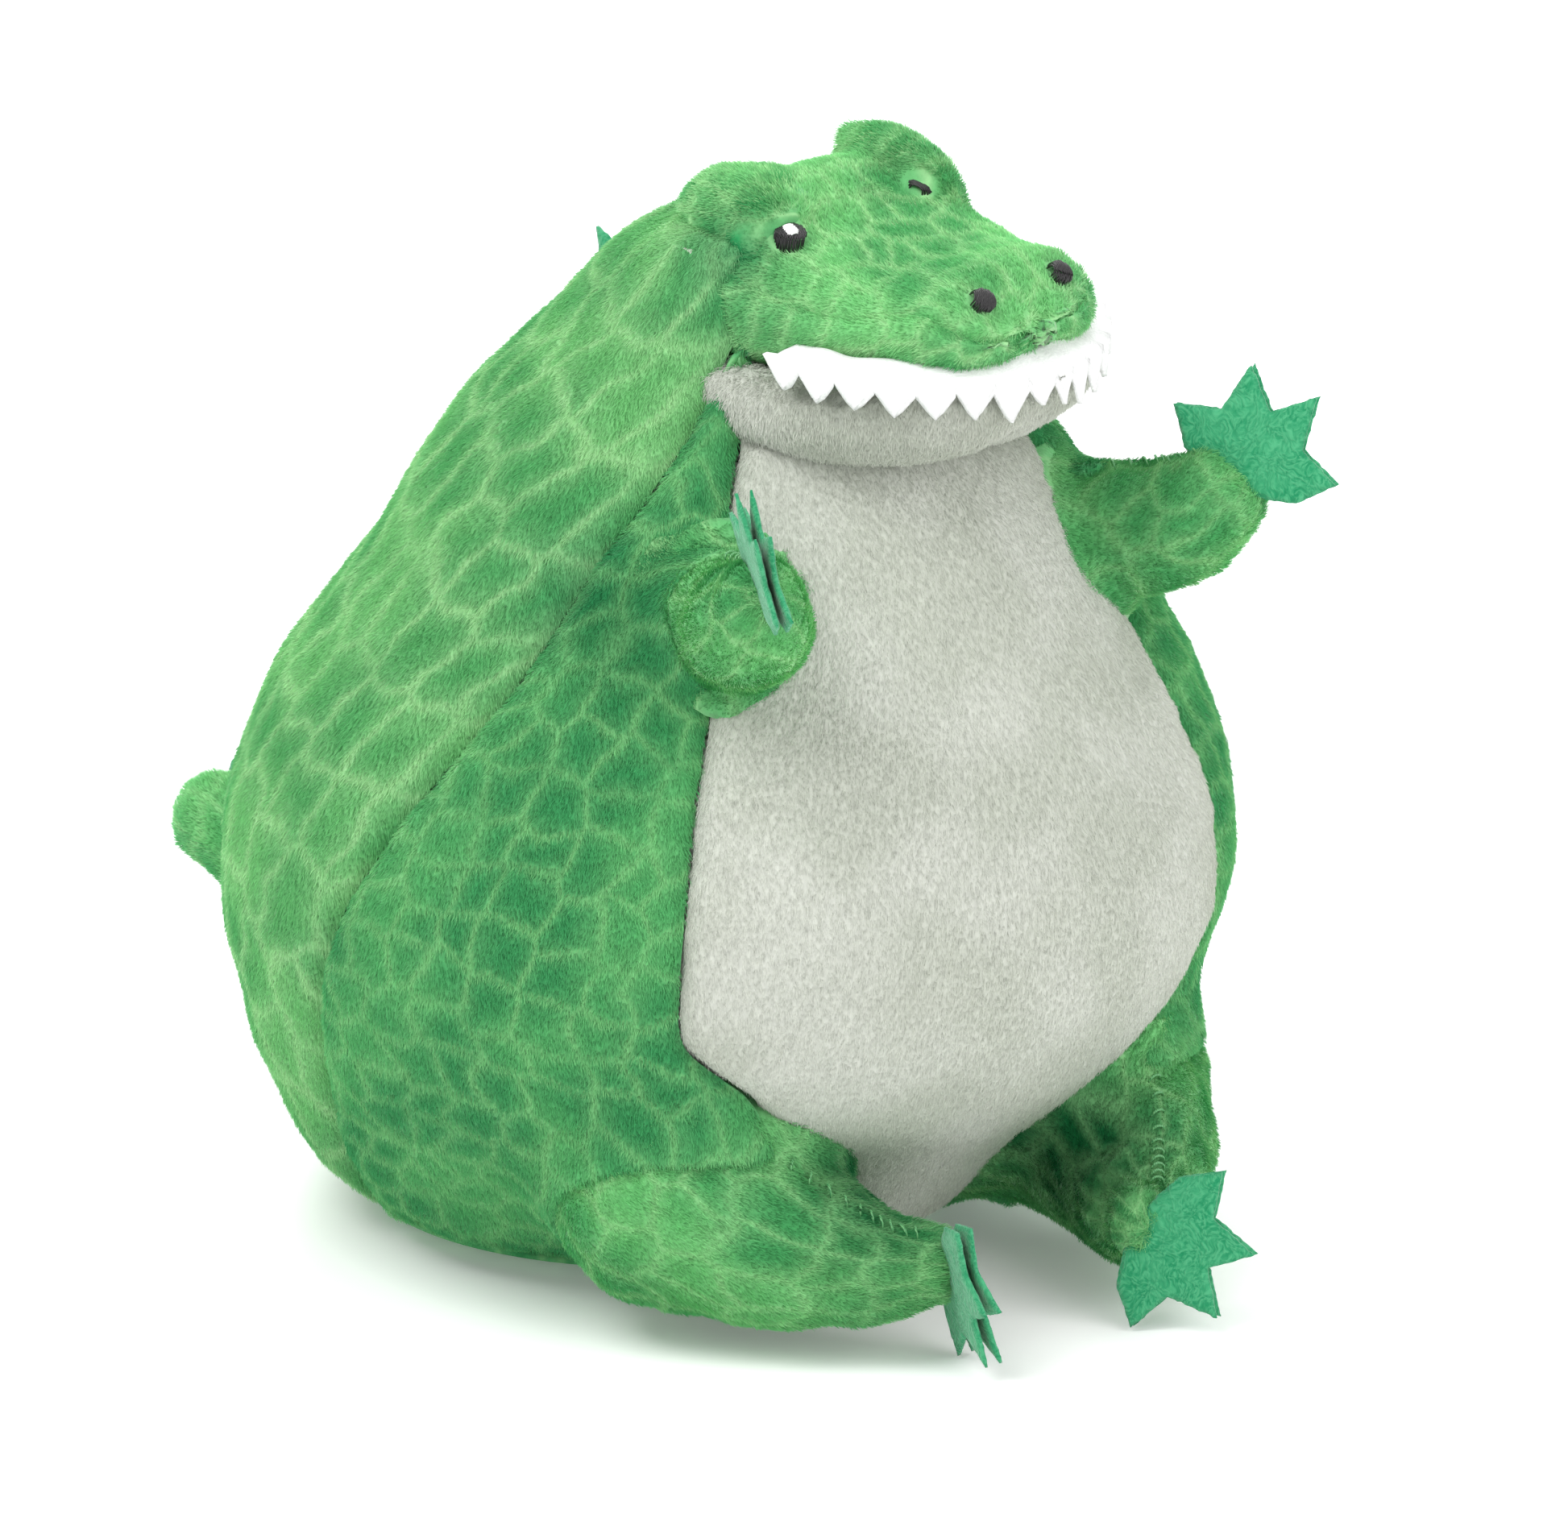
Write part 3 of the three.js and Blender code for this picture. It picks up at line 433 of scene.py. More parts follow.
def mesh_object(name, points, faces, pattern=None):
    mesh = bpy.data.meshes.new(name)
    mesh.from_pydata((points * MM + SHIFT).tolist(), [], [list(map(int, f)) for f in faces])
    mesh.polygons.foreach_set("use_smooth", [True] * len(mesh.polygons))
    if pattern is not None:
        # The pattern attribute holds the point's place on the printed cloth and, as its third value, the
        # painted shade.
        spread = np.concatenate([pattern, painted_shade_at(points)[:, None]], -1)
        layer = mesh.attributes.new("pattern", "FLOAT_VECTOR", "POINT")
        layer.data.foreach_set("vector", spread.ravel())
    mesh.update()
    return new_object(name, mesh)


def shell(points, normals, faces, thickness):
    """A closed sheet: the faces, the same faces below them, and a rim along every free edge."""
    edges = np.concatenate([np.stack([faces[:, k], faces[:, (k + 1) % 4]], -1) for k in range(4)])
    order, count = np.unique(np.sort(edges, 1), axis=0, return_counts=True)
    single = {tuple(e) for e in order[count == 1]}
    rim = np.array([e for e in edges if tuple(sorted(e)) in single])
    n = len(points)
    sides = np.stack([rim[:, 1], rim[:, 0], rim[:, 0] + n, rim[:, 1] + n], -1)
    return (np.concatenate([points, points - normals * thickness]),
            np.concatenate([faces, faces[:, ::-1] + n, sides]))


def compact(points, faces, *others):
    """The points that faces use, the faces with their new numbers, and the other values of those points."""
    used = np.unique(faces)
    lookup = np.zeros(len(points), int)
    lookup[used] = np.arange(len(used))
    return (points[used], lookup[faces]) + tuple(o[used] for o in others)


# What a piece's name ends with, for the slot that it is made of.
ENDINGS = {"green_plush": "_cloth", "pale_plush": "_cloth", "bag_cloth": "_cloth", "fibre_filling": "_fibre",
           "green_felt": "_cut", "white_felt": "_cut",
           "black_thread": "_stitching", "white_thread": "_stitching"}


def attach(obj, body, nodes, slot, material):
    """Names a piece, gives it its material and body, and hides the CAD nodes it replaces."""
    obj.name = nodes[0] + ENDINGS[slot]
    obj.data.materials.append(material)
    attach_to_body(obj, body)
    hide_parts(*nodes)


# ---- node materials ----
def linear(rgb):
    values = np.array(rgb, float) / 255
    return tuple(np.where(values <= 0.04045, values / 12.92, ((values + 0.055) / 1.055) ** 2.4)) + (1.0,)


class Nodes:
    """A new node material, with short ways to add to it."""

    def __init__(self, name, roughness=0.9, specular=0.25, sheen=0.0):
        self.material = bpy.data.materials.new(name)
        self.material.use_nodes = True
        self.tree = self.material.node_tree
        self.shader = self.tree.nodes["Principled BSDF"]
        self.shader.inputs["Roughness"].default_value = roughness
        self.shader.inputs["Specular IOR Level"].default_value = specular
        self.shader.inputs["Sheen Weight"].default_value = sheen
        self.shader.inputs["Sheen Roughness"].default_value = 0.45

    def add(self, kind, links=None, **settings):
        node = self.tree.nodes.new("ShaderNode" + kind)
        for key, value in settings.items():
            setattr(node, key, value)
        for key, value in (links or {}).items():
            if isinstance(value, bpy.types.NodeSocket):
                self.tree.links.new(value, node.inputs[key])
            else:
                node.inputs[key].default_value = value
        return node

    def spread(self, value, low, high, to_low=0.0, to_high=1.0):
        node = self.add("MapRange", {0: value, 1: low, 2: high, 3: to_low, 4: to_high},
                        interpolation_type="SMOOTHSTEP")
        return node.outputs[0]

    def mix(self, factor, first, second):
        return self.add("Mix", {0: factor, 6: first, 7: second}, data_type="RGBA").outputs[2]

    def noise(self, vector, scale, detail=2.0):
        return self.add("TexNoise", {"Vector": vector, "Scale": scale, "Detail": detail}).outputs[0]

    def stretch(self, vector, x, y, z=1.0):
        return self.add("VectorMath", {0: vector, 1: (x, y, z)}, operation="MULTIPLY").outputs[0]

    def bump(self, height, distance, strength=1.0):
        node = self.add("Bump", {"Height": height, "Distance": distance, "Strength": strength})
        self.tree.links.new(node.outputs[0], self.shader.inputs["Normal"])

    def colour(self, socket):
        self.tree.links.new(socket, self.shader.inputs["Base Color"])


def plush_colour(nodes, look):
    """The printed cloth: rounded cells in a net of lighter lines, in darker and paler patches, and painted
    shade.
    """
    spot = nodes.add("Attribute", attribute_name="pattern").outputs["Vector"]
    # The third value of the pattern attribute is painted shade, from 0 to 1.
    painted_shade = nodes.add("SeparateXYZ", {0: spot}).outputs[2]
    place = nodes.stretch(spot, 1, 1, 0)
    wander = nodes.add("TexNoise", {"Vector": place, "Scale": 0.09, "Detail": 1.0}).outputs[1]
    wander = nodes.add("VectorMath", {0: wander, 1: (0.5, 0.5, 0.5)}, operation="SUBTRACT").outputs[0]
    wander = nodes.stretch(wander, 9, 9, 0)
    warped = nodes.add("VectorMath", {0: place, 1: wander}, operation="ADD").outputs[0]
    patch = nodes.spread(nodes.noise(place, 0.035, 1.0), 0.4, 0.62)
    colour = nodes.mix(patch, linear(look["dark"]), linear(look["cell"]))
    # Painted shade: the colour is drawn toward the look's darkest colour.
    colour = nodes.mix(painted_shade, colour, linear(look["deep"]))
    if "line" in look:
        cells = nodes.stretch(warped, 1 / look["wide"], 1 / look["tall"], 0)
        edge = nodes.add("TexVoronoi", {"Vector": cells, "Scale": 1.0, "Randomness": 0.6},
                         feature="DISTANCE_TO_EDGE", voronoi_dimensions="2D").outputs["Distance"]
        centre = nodes.spread(edge, 0.1, 0.4)
        colour = nodes.mix(centre, nodes.mix(0.22, colour, linear(look["line"])), colour)
        line = nodes.spread(edge, 0.0, 0.13, 0.72, 0.0)
        faint = nodes.spread(nodes.noise(place, 0.05, 1.0), 0.25, 0.6, 0.45, 1.0)
        # The net lines fade where the painted shade lies.
        clear = nodes.spread(painted_shade, 0.0, 1.0, 1.0, 0.25)
        for factor in (faint, clear):
            line = nodes.add("Math", {0: line, 1: factor}, operation="MULTIPLY").outputs[0]
        colour = nodes.mix(line, colour, linear(look["line"]))
    streak = nodes.noise(nodes.stretch(place, 1.3, 0.55, 1), 1.0, 3.0)
    shade = nodes.spread(streak, 0.3, 0.7, 0.92, 1.06)
    return nodes.add("VectorMath", {0: colour, "Scale": shade}, operation="SCALE").outputs[0]


def plush_material(name, look):
    """The cloth itself, seen between the strands of its pile."""
    nodes = Nodes(name, 0.95, 0.15, 0.25)
    nodes.colour(plush_colour(nodes, look))
    place = nodes.add("TexCoord").outputs["Object"]
    nodes.bump(nodes.noise(nodes.stretch(place, 1, 1, 0.4), 900, 3.0), 0.0005, 0.8)
    return nodes.material


def pile_material(name, look):
    """One strand: darker at its root, with its own small change of shade."""
    nodes = Nodes(name, 0.7, 0.2, 0.0)
    colour = plush_colour(nodes, look)
    hair = nodes.add("HairInfo")
    rise = nodes.spread(hair.outputs["Intercept"], 0.0, 0.8, look.get("root", 0.72), 1.12)
    own = nodes.spread(hair.outputs["Random"], 0.0, 1.0, 0.88, 1.12)
    both = nodes.add("Math", {0: rise, 1: own}, operation="MULTIPLY").outputs[0]
    nodes.colour(nodes.add("VectorMath", {0: colour, "Scale": both}, operation="SCALE").outputs[0])
    return nodes.material


# In each look, the darkest colour is painted shade: the cloth goes toward it in the eye sockets and where the
# limbs join the body.
LOOKS = {
    "back": dict(cell=(116, 190, 119), dark=(90, 172, 104), line=(168, 217, 158), deep=(40, 138, 84),
                 wide=13, tall=19),
    "side": dict(cell=(87, 172, 105), dark=(62, 152, 92), line=(132, 198, 132), deep=(24, 118, 68),
                 wide=10, tall=9.5),
    "head": dict(cell=(122, 200, 126), dark=(82, 170, 100), line=(166, 218, 156), deep=(28, 128, 74),
                 wide=9, tall=8),
    "limb": dict(cell=(112, 194, 120), dark=(80, 170, 102), line=(156, 214, 150), deep=(18, 104, 56),
                 wide=10, tall=11),
    "pale": dict(cell=(198, 201, 192), dark=(189, 193, 182), deep=(160, 174, 154), root=0.9),
}
CLOTH = {key: plush_material("plush_" + key, look) for key, look in LOOKS.items()}
STRAND = {key: pile_material("pile_" + key, look) for key, look in LOOKS.items()}


def felt_material(name, rgb, light, fuzz):
    nodes = Nodes(name, 0.95, 0.1, 0.3)
    place = nodes.add("TexCoord").outputs["Object"]
    bend = nodes.add("TexNoise", {"Vector": place, "Scale": 160.0, "Detail": 2.0}).outputs[1]
    curly = nodes.add("VectorMath", {0: nodes.stretch(bend, 0.012, 0.012, 0.012), 1: place},
                      operation="ADD").outputs[0]
    fibres = nodes.noise(curly, 1300.0, 4.0)
    mottle = nodes.noise(place, 190.0, 2.0)
    colour = nodes.mix(nodes.spread(fibres, 0.35, 0.7), linear(rgb), linear(light))
    colour = nodes.mix(nodes.spread(mottle, 0.35, 0.65, 0.0, 0.35), colour, linear(light))
    nodes.colour(colour)
    nodes.bump(fibres, 0.0006, fuzz)
    return nodes.material


def thread_material(name, rgb, light):
    nodes = Nodes(name, 0.45, 0.5, 0.0)
    place = nodes.add("TexCoord").outputs["Object"]
    twist = nodes.add("TexWave", {"Vector": place, "Scale": 900.0, "Distortion": 3.0}).outputs[1]
    nodes.colour(nodes.mix(twist, linear(rgb), linear(light)))
    nodes.bump(twist, 0.0001, 0.5)
    return nodes.material


FELT_GREEN = felt_material("felt_green", (34, 138, 92), (80, 172, 124), 0.7)
FELT_WHITE = felt_material("felt_white", (230, 231, 230), (243, 244, 243), 0.5)
BLACK = thread_material("thread_black", (14, 13, 15), (52, 50, 52))
WHITE = thread_material("thread_white", (232, 232, 230), (252, 252, 252))
DARK_THREAD = thread_material("thread_green", (62, 138, 84), (120, 186, 124))


def filling_material(name, rgb, light, scale):
    nodes = Nodes(name, 1.0, 0.1, 0.2)
    place = nodes.add("TexCoord").outputs["Object"]
    tangle = nodes.noise(place, scale, 5.0)
    nodes.colour(nodes.mix(nodes.spread(tangle, 0.3, 0.7), linear(rgb), linear(light)))
    nodes.bump(tangle, 0.001, 0.8)
    return nodes.material


FILLING = filling_material("fibre_filling", (226, 224, 216), (250, 249, 244), 420.0)
BAG_CLOTH = filling_material("bag_cloth", (200, 194, 178), (228, 223, 210), 1500.0)


# ---- pile ----
def grow(name, body, points, faces, pattern, flow, material, length=PILE, density=PILE_DENSITY, lean=54,
         keep=None, radius=0.055, wild=0.16, gust=0.18, seed=1):
    """Plush strands from a surface. flow gives the way the pile lies at each point."""
    random = np.random.default_rng(seed)
    quads = points[faces]
    normal = np.cross(quads[:, 2] - quads[:, 0], quads[:, 3] - quads[:, 1]) / 2
    area = np.linalg.norm(normal, axis=-1)
    wanted = area * density
    number = np.floor(wanted + random.random(len(faces))).astype(int)
    face = np.repeat(np.arange(len(faces)), number)
    u, v = random.random((2, len(face), 1))
    weight = [(1 - u) * (1 - v), u * (1 - v), u * v, (1 - u) * v]
    spot = lambda values: sum(w * values[faces[face, k]] for k, w in enumerate(weight))
    root, where = spot(points), spot(pattern)
    out = unit(normal)[face]
    chosen = clear_of_thread(root)
    if keep is not None:
        chosen &= keep(root)
    root, where, out = root[chosen], where[chosen], out[chosen]
    lie = flow(root)
    swirl = np.stack([waves(root, 7.0, seed + k, 10) for k in range(3)], -1)
    lie = lie + gust * swirl + random.normal(size=root.shape) * wild
    lie = unit(lie - out * (lie * out).sum(-1, keepdims=True))
    tilt = lean + 24 * gust * waves(root, 11.0, seed + 5, 8) + random.normal(size=len(root)) * 9
    tilt = np.radians(tilt)[:, None]
    size = (length * random.uniform(0.72, 1.08, len(root)))[:, None]
    strands = np.empty((len(root), 4, 3), np.float32)
    for k, s in enumerate((0.0, 0.35, 0.7, 1.0)):
        rise = out * np.cos(tilt) * (s - 0.28 * s**2) * 1.15
        along = lie * np.sin(tilt) * (0.75 * s + 0.35 * s**2)
        strands[:, k] = ((root - out * 0.15 + size * (rise + along)) * MM + SHIFT)
    hair = bpy.data.hair_curves.new(name)
    hair.add_curves([4] * len(root))
    hair.points.foreach_set("position", strands.ravel())
    thick = hair.attributes.get("radius") or hair.attributes.new("radius", "FLOAT", "POINT")
    taper = np.array([1.0, 0.9, 0.65, 0.2], np.float32) * radius * MM
    thick.data.foreach_set("value", np.tile(taper, len(root)))
    # The pattern attribute holds the strand's place on the printed cloth and, as its third value, the painted
    # shade.
    spread = np.concatenate([where, painted_shade_at(root)[:, None]], -1).astype(np.float32)
    layer = hair.attributes.new("pattern", "FLOAT_VECTOR", "CURVE")
    layer.data.foreach_set("vector", spread.ravel())
    hair.materials.append(material)
    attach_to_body(new_object(name, hair), body)


def falling(points):
    return np.broadcast_to(np.array([0, 0, -1.0]), points.shape)


# ---- a stuffed panel ----
def panel(name, grid, inside, look, body="root", offset=(0, 0), keep=None, flow=falling,
          puff=PUFF, cap=1.2, seed=1, others=(), seams=(1, 1, 1, 1), wrinkle=0.35, **pile):
    """One plush panel, sewn down along its edges and pushed out between them by the stuffing."""
    grid = outward(grid, inside)
    rows, columns = grid.shape[:2]
    crown = puff * (1 - np.exp(-np.minimum.reduce(edge_gaps(grid)) / CROWN_REACH))
    grid = grid - grid_normals(grid) * (PILE_ROOM + puff - crown)[..., None]
    edge = np.zeros((rows, columns), bool)
    edge[[0, -1]] = edge[:, [0, -1]] = True
    flat = flat_places(grid, False) + np.array(offset, float)
    puffed = inflate(grid.reshape(-1, 3), grid_faces(rows, columns), edge.ravel(), cap)
    grid = puffed.reshape(rows, columns, 3)
    for axis in (0, 1):
        grid, flat = cubic(grid, FINE, axis, False), cubic(flat, FINE, axis, False)
    rows, columns = grid.shape[:2]
    normals = grid_normals(grid)
    draw = sum(on * np.exp(-(gap / SEAM_REACH) ** 2) for on, gap in zip(seams, edge_gaps(grid)))
    grid = grid - normals * (SEAM_DEPTH * np.minimum(draw, 1))[..., None]
    grid = grid + normals * (0.13 * waves(grid, 3.2, seed) + wrinkle * waves(grid, 21.0, seed + 3))[..., None]
    points, flat = grid.reshape(-1, 3), flat.reshape(-1, 2)
    points = fillet(points, normals.reshape(-1, 3), others)
    normals = grid_normals(points.reshape(grid.shape))
    faces = grid_faces(rows, columns)
    if keep is not None:
        faces = faces[keep(points)[faces].any(1)]
    points, faces, flat, normals = compact(points, faces, flat, normals.reshape(-1, 3))
    closed, sides = shell(points, normals, faces, BACKING)
    obj = mesh_object(name, closed, sides, np.concatenate([flat, flat]))
    slot = "pale_plush" if look == "pale" else "green_plush"
    attach(obj, body, [name], slot, CLOTH[look])
    grow(name + "_pile", body, points, faces, flat, flow, STRAND[look], seed=seed, **pile)


BODY_RADIUS = 85.0                # about how far the body's widest part is from its axis


def body_grid(left_edge, right_edge, low, high):
    """A grid on the body between two seams, which give an angle at each place, and between two heights."""
    t0, t1 = place_of(BODY_STATIONS, low), place_of(BODY_STATIONS, high)
    fine = body_skin(np.full(200, 90.0), np.linspace(t0, t1, 200))
    steps = np.concatenate([[0], np.cumsum(np.linalg.norm(np.diff(fine, axis=0), axis=1))])
    rows = round(steps[-1] / STEP)
    t = np.interp(np.linspace(0, steps[-1], rows + 1), steps, np.linspace(t0, t1, 200))[:, None]
    a, b = left_edge(t), right_edge(t)
    widest = np.radians(np.abs(b - a).max()) * BODY_RADIUS
    s = np.linspace(0, 1, round(widest / STEP) + 1)[None]
    return body_skin(a + (b - a) * s, t + 0 * s)


def outside_head(points):
    return (depth_in_section(HEAD_STATIONS, points) > 0.75) & (depth_in_section(JAW_STATIONS, points) > 0.7)


def head_grid(table, start, stop, low, high):
    """A grid on the upper head or the jaw between two angles and between two places along its stations."""
    t = np.linspace(low, high, 15)[:, None]
    s = np.linspace(start, stop, max(4, round(abs(stop - start) / 10)))[None]
    grid = section(table, s + 0 * t, t + 0 * s)
    if high < 0.98:
        return grid
    # The front is closed by the same panel, drawn together to a point.
    middle = from_head(0, table[-1][0] + 0.6, table[-1][1])
    return np.concatenate([grid] + [middle + (grid[-1:] - middle) * shrink for shrink in (0.66, 0.33, 0.04)])


BODY_INSIDE = np.array([0, 0, 80.0])
HEAD_INSIDE = from_head(0, 38, 176)
SIDES = (("left", 1), ("right", -1))


def down_and_back(points):
    back = from_head(0, -1, 0)
    return np.broadcast_to(back + [0, 0, -0.35], points.shape)


LIMBS = {f"{kind}_{word}": limb_for(source, side)
         for kind, source in (("arm", ARM), ("leg", LEG)) for word, side in SIDES}
LIMBS["tail"] = limb_for(TAIL, 1)
CORNERS = {"arm": 5.0, "leg": 11.0, "tail": 7.0}   # reach of the soft corner at each limb's root
LIMB_GAPS = [(limb_distance(limb), CORNERS[name.split("_")[0]]) for name, limb in LIMBS.items()]
BROW_CORNER = 4.0


def make_body():
    still = np.zeros_like
    belly = lambda t: seam_angle(BELLY_SEAM, t)
    panel("belly_panel", body_grid(lambda t: -belly(t), belly, 1.5, 160),
          BODY_INSIDE, "pale", keep=outside_head, seed=11, wrinkle=0.25, lean=62, length=1.2,
          gust=0.05, wild=0.12, radius=0.045)
    for n, (word, side) in enumerate(SIDES):
        seam = lambda t, side=side: side * seam_angle(SIDE_SEAM, t)
        front = lambda t, side=side: side * belly(t)
        spine = lambda t, side=side: still(t) + side * 180
        panel("side_panel_" + word, body_grid(front, seam, 1.5, 182), BODY_INSIDE, "side",
              keep=outside_head, seed=21 + n, offset=(40 * n, 300), others=LIMB_GAPS)
        panel("back_panel_" + word, body_grid(seam, spine, 1.5, 195.5), BODY_INSIDE, "back",
              keep=outside_head, seed=31 + n, offset=(90 + 55 * n, 700), others=LIMB_GAPS, seams=(1, 0, 1, 1))
    # The seat is a round panel, drawn here as rings about its middle.
    radius = np.linspace(0.5, BODY_STATIONS[0][2] + 4, 11)[:, None]
    turn = np.linspace(0, 2 * math.pi, 60, endpoint=False)[None]
    rise = 0.3 + 2.2 * (radius / radius.max()) ** 6
    rings = np.stack([radius * np.sin(turn), SEAT_MIDDLE - radius * np.cos(turn), rise + 0 * turn], -1)
    rings = cubic(cubic(outward(rings, BODY_INSIDE, True), 3, 0, False), 2, 1, True)
    points, faces = rings.reshape(-1, 3), grid_faces(*rings.shape[:2], True)
    normals = grid_normals(rings, True).reshape(-1, 3)
    closed, sides = shell(points, normals, faces, BACKING)
    flat = np.concatenate([points[:, :2]] * 2)
    attach(mesh_object("seat_panel", closed, sides, flat), "root", ["seat_panel"], "green_plush",
           CLOTH["side"])


def make_head():
    snout = dict(flow=down_and_back, lean=50, length=1.6)
    panel("head_top_panel", head_grid(HEAD_STATIONS, -CHEEK_SEAM, CHEEK_SEAM, 0.06, 0.985), HEAD_INSIDE,
          "head", puff=0.4, cap=0.8, seed=41, offset=(0, 1200), wrinkle=0.2, seams=(1, 0.3, 0.5, 0.5),
          others=[(brow_distance(side), BROW_CORNER) for _, side in SIDES], **snout)
    for n, (word, side) in enumerate(SIDES):
        cheek = head_grid(HEAD_STATIONS, side * CHEEK_SEAM, side * CHEEK_END, 0.06, 0.985)
        panel("cheek_panel_" + word, cheek, HEAD_INSIDE, "head", puff=0.3, cap=0.6, seed=43 + n,
              offset=(300 * n, 1500), wrinkle=0.1, seams=(1, 0.3, 0.5, 0), **snout)
    panel("jaw_panel", head_grid(JAW_STATIONS, 38, 322, 0.04, 0.99), from_head(0, 40, 164), "pale", puff=0.5,
          cap=1.0, seed=47, lean=50, length=1.5, gust=0.1, wrinkle=0.2)
    for n, (word, side) in enumerate(SIDES):
        make_brow(word, side, 51 + n)


def make_brow(word, side, seed):
    """A folded lobe of plush that stands above its eye, sewn into the head all round."""
    name = "brow_" + word
    turn = np.linspace(0, 2 * math.pi, 40, endpoint=False)[None]
    lift = np.linspace(0.06, math.pi - 0.06, 26)[:, None]
    local = np.stack([np.cos(turn) * np.sin(lift), -np.cos(lift) + 0 * turn, np.sin(turn) * np.sin(lift)], -1)
    middle, radii, tip = BROWS[side]
    c, s = math.cos(tip), math.sin(tip)
    x, y, z = np.moveaxis(local * (radii - PILE_ROOM), -1, 0)
    grid = from_head(x + middle[0], y * c + z * s + middle[1], z * c - y * s + middle[2])
    grid = outward(grid, from_head(*middle), True)
    grid = cubic(cubic(grid, 2, 0, False), 2, 1, True)
    normals = grid_normals(grid, True)
    grid = grid + normals * (0.15 * waves(grid, 3.0, seed) + 0.5 * waves(grid, 9.0, seed + 2))[..., None]
    rows, columns = grid.shape[:2]
    points, flat = grid.reshape(-1, 3), flat_places(grid, False).reshape(-1, 2) + [0, 2100 + 60 * seed]
    points = fillet(points, normals.reshape(-1, 3), [(head_distance, BROW_CORNER)], 4.0)
    faces = grid_faces(rows, columns, True)
    obj = mesh_object(name, *with_poles(points, rows, columns, faces, flat))
    attach(obj, "root", [name], "green_plush", CLOTH["head"])
    grow(name + "_pile", "root", points, faces, flat, down_and_back, STRAND["head"], seed=seed, lean=40,
         keep=lambda p: (depth_in_section(HEAD_STATIONS, p) > 0.9) & (depth_in_body(p) > 0.97))


def with_poles(points, rows, columns, faces, flat):
    """Closes a grid of rings with a fan of triangles at each end."""
    rings = points.reshape(rows, columns, 3)
    ends = np.stack([rings[0].mean(0), rings[-1].mean(0)])
    last = (rows - 1) * columns
    caps = [[rows * columns, (c + 1) % columns, c] for c in range(columns)]
    caps += [[rows * columns + 1, last + c, last + (c + 1) % columns] for c in range(columns)]
    return np.concatenate([points, ends]), list(faces) + caps, np.concatenate([flat, flat[[0, -1]]])


def make_sleeve(name, limb, body, look, seed):
    turned = outward(limb_rings(limb, PILE_ROOM + 1.0), path_at(limb, 0.5), True)
    rows, columns = turned.shape[:2]
    flat = flat_places(turned, True) + np.array([0, 400 + 100 * seed])
    held = np.zeros((rows, columns), bool)
    held[:HELD_RINGS] = True
    points = turned.reshape(-1, 3)
    faces = grid_faces(rows, columns, True)
    points = inflate(points, faces, held.ravel(), 1.0)
    fine = points.reshape(rows, columns, 3)
    fine = cubic(cubic(fine, FINE, 0, False), FINE, 1, True)
    # The pattern's last column meets its first one, so it is spread in straight steps instead.
    across = np.linspace(0, 1, fine.shape[1], endpoint=False)[None] * flat[..., 0].max(1).max()
    up = cubic(flat[..., 1].mean(1), FINE, 0, False)[:, None]
    flat = np.stack(np.broadcast_arrays(across, up), -1)
    normals = grid_normals(fine, True)
    fine = fine + normals * (0.16 * waves(fine, 3.0, seed) + 0.5 * waves(fine, 13.0, seed + 2))[..., None]
    fine[..., 2] = np.maximum(fine[..., 2], PILE_ROOM)
    rows, columns = fine.shape[:2]
    points, flat = fine.reshape(-1, 3), flat.reshape(-1, 2)
    corner = CORNERS[name.split("_")[0]]
    points = fillet(points, normals.reshape(-1, 3), [(body_distance, corner)], 5.0)
    points[:, 2] = np.maximum(points[:, 2], PILE_ROOM)
    faces = grid_faces(rows, columns, True)
    obj = mesh_object(name, *with_poles(points, rows, columns, faces, flat))
    attach(obj, body, [name], "green_plush", CLOTH[look])
    path = path_at(limb, np.linspace(0, 1, 40))
    way = unit(np.gradient(path, axis=0))

    def flow(roots):
        nearest = ((roots[:, None] - path[None]) ** 2).sum(-1).argmin(1)
        return way[nearest]

    grow(name + "_pile", body, points, faces, flat, flow, STRAND[look], seed=seed, lean=46,
         keep=lambda p: depth_in_body(p) > 0.97)


# ---- felt ----
EDGE_STEP, FELT_STEP = 0.7, 0.9   # between points along a cut's outline and inside it


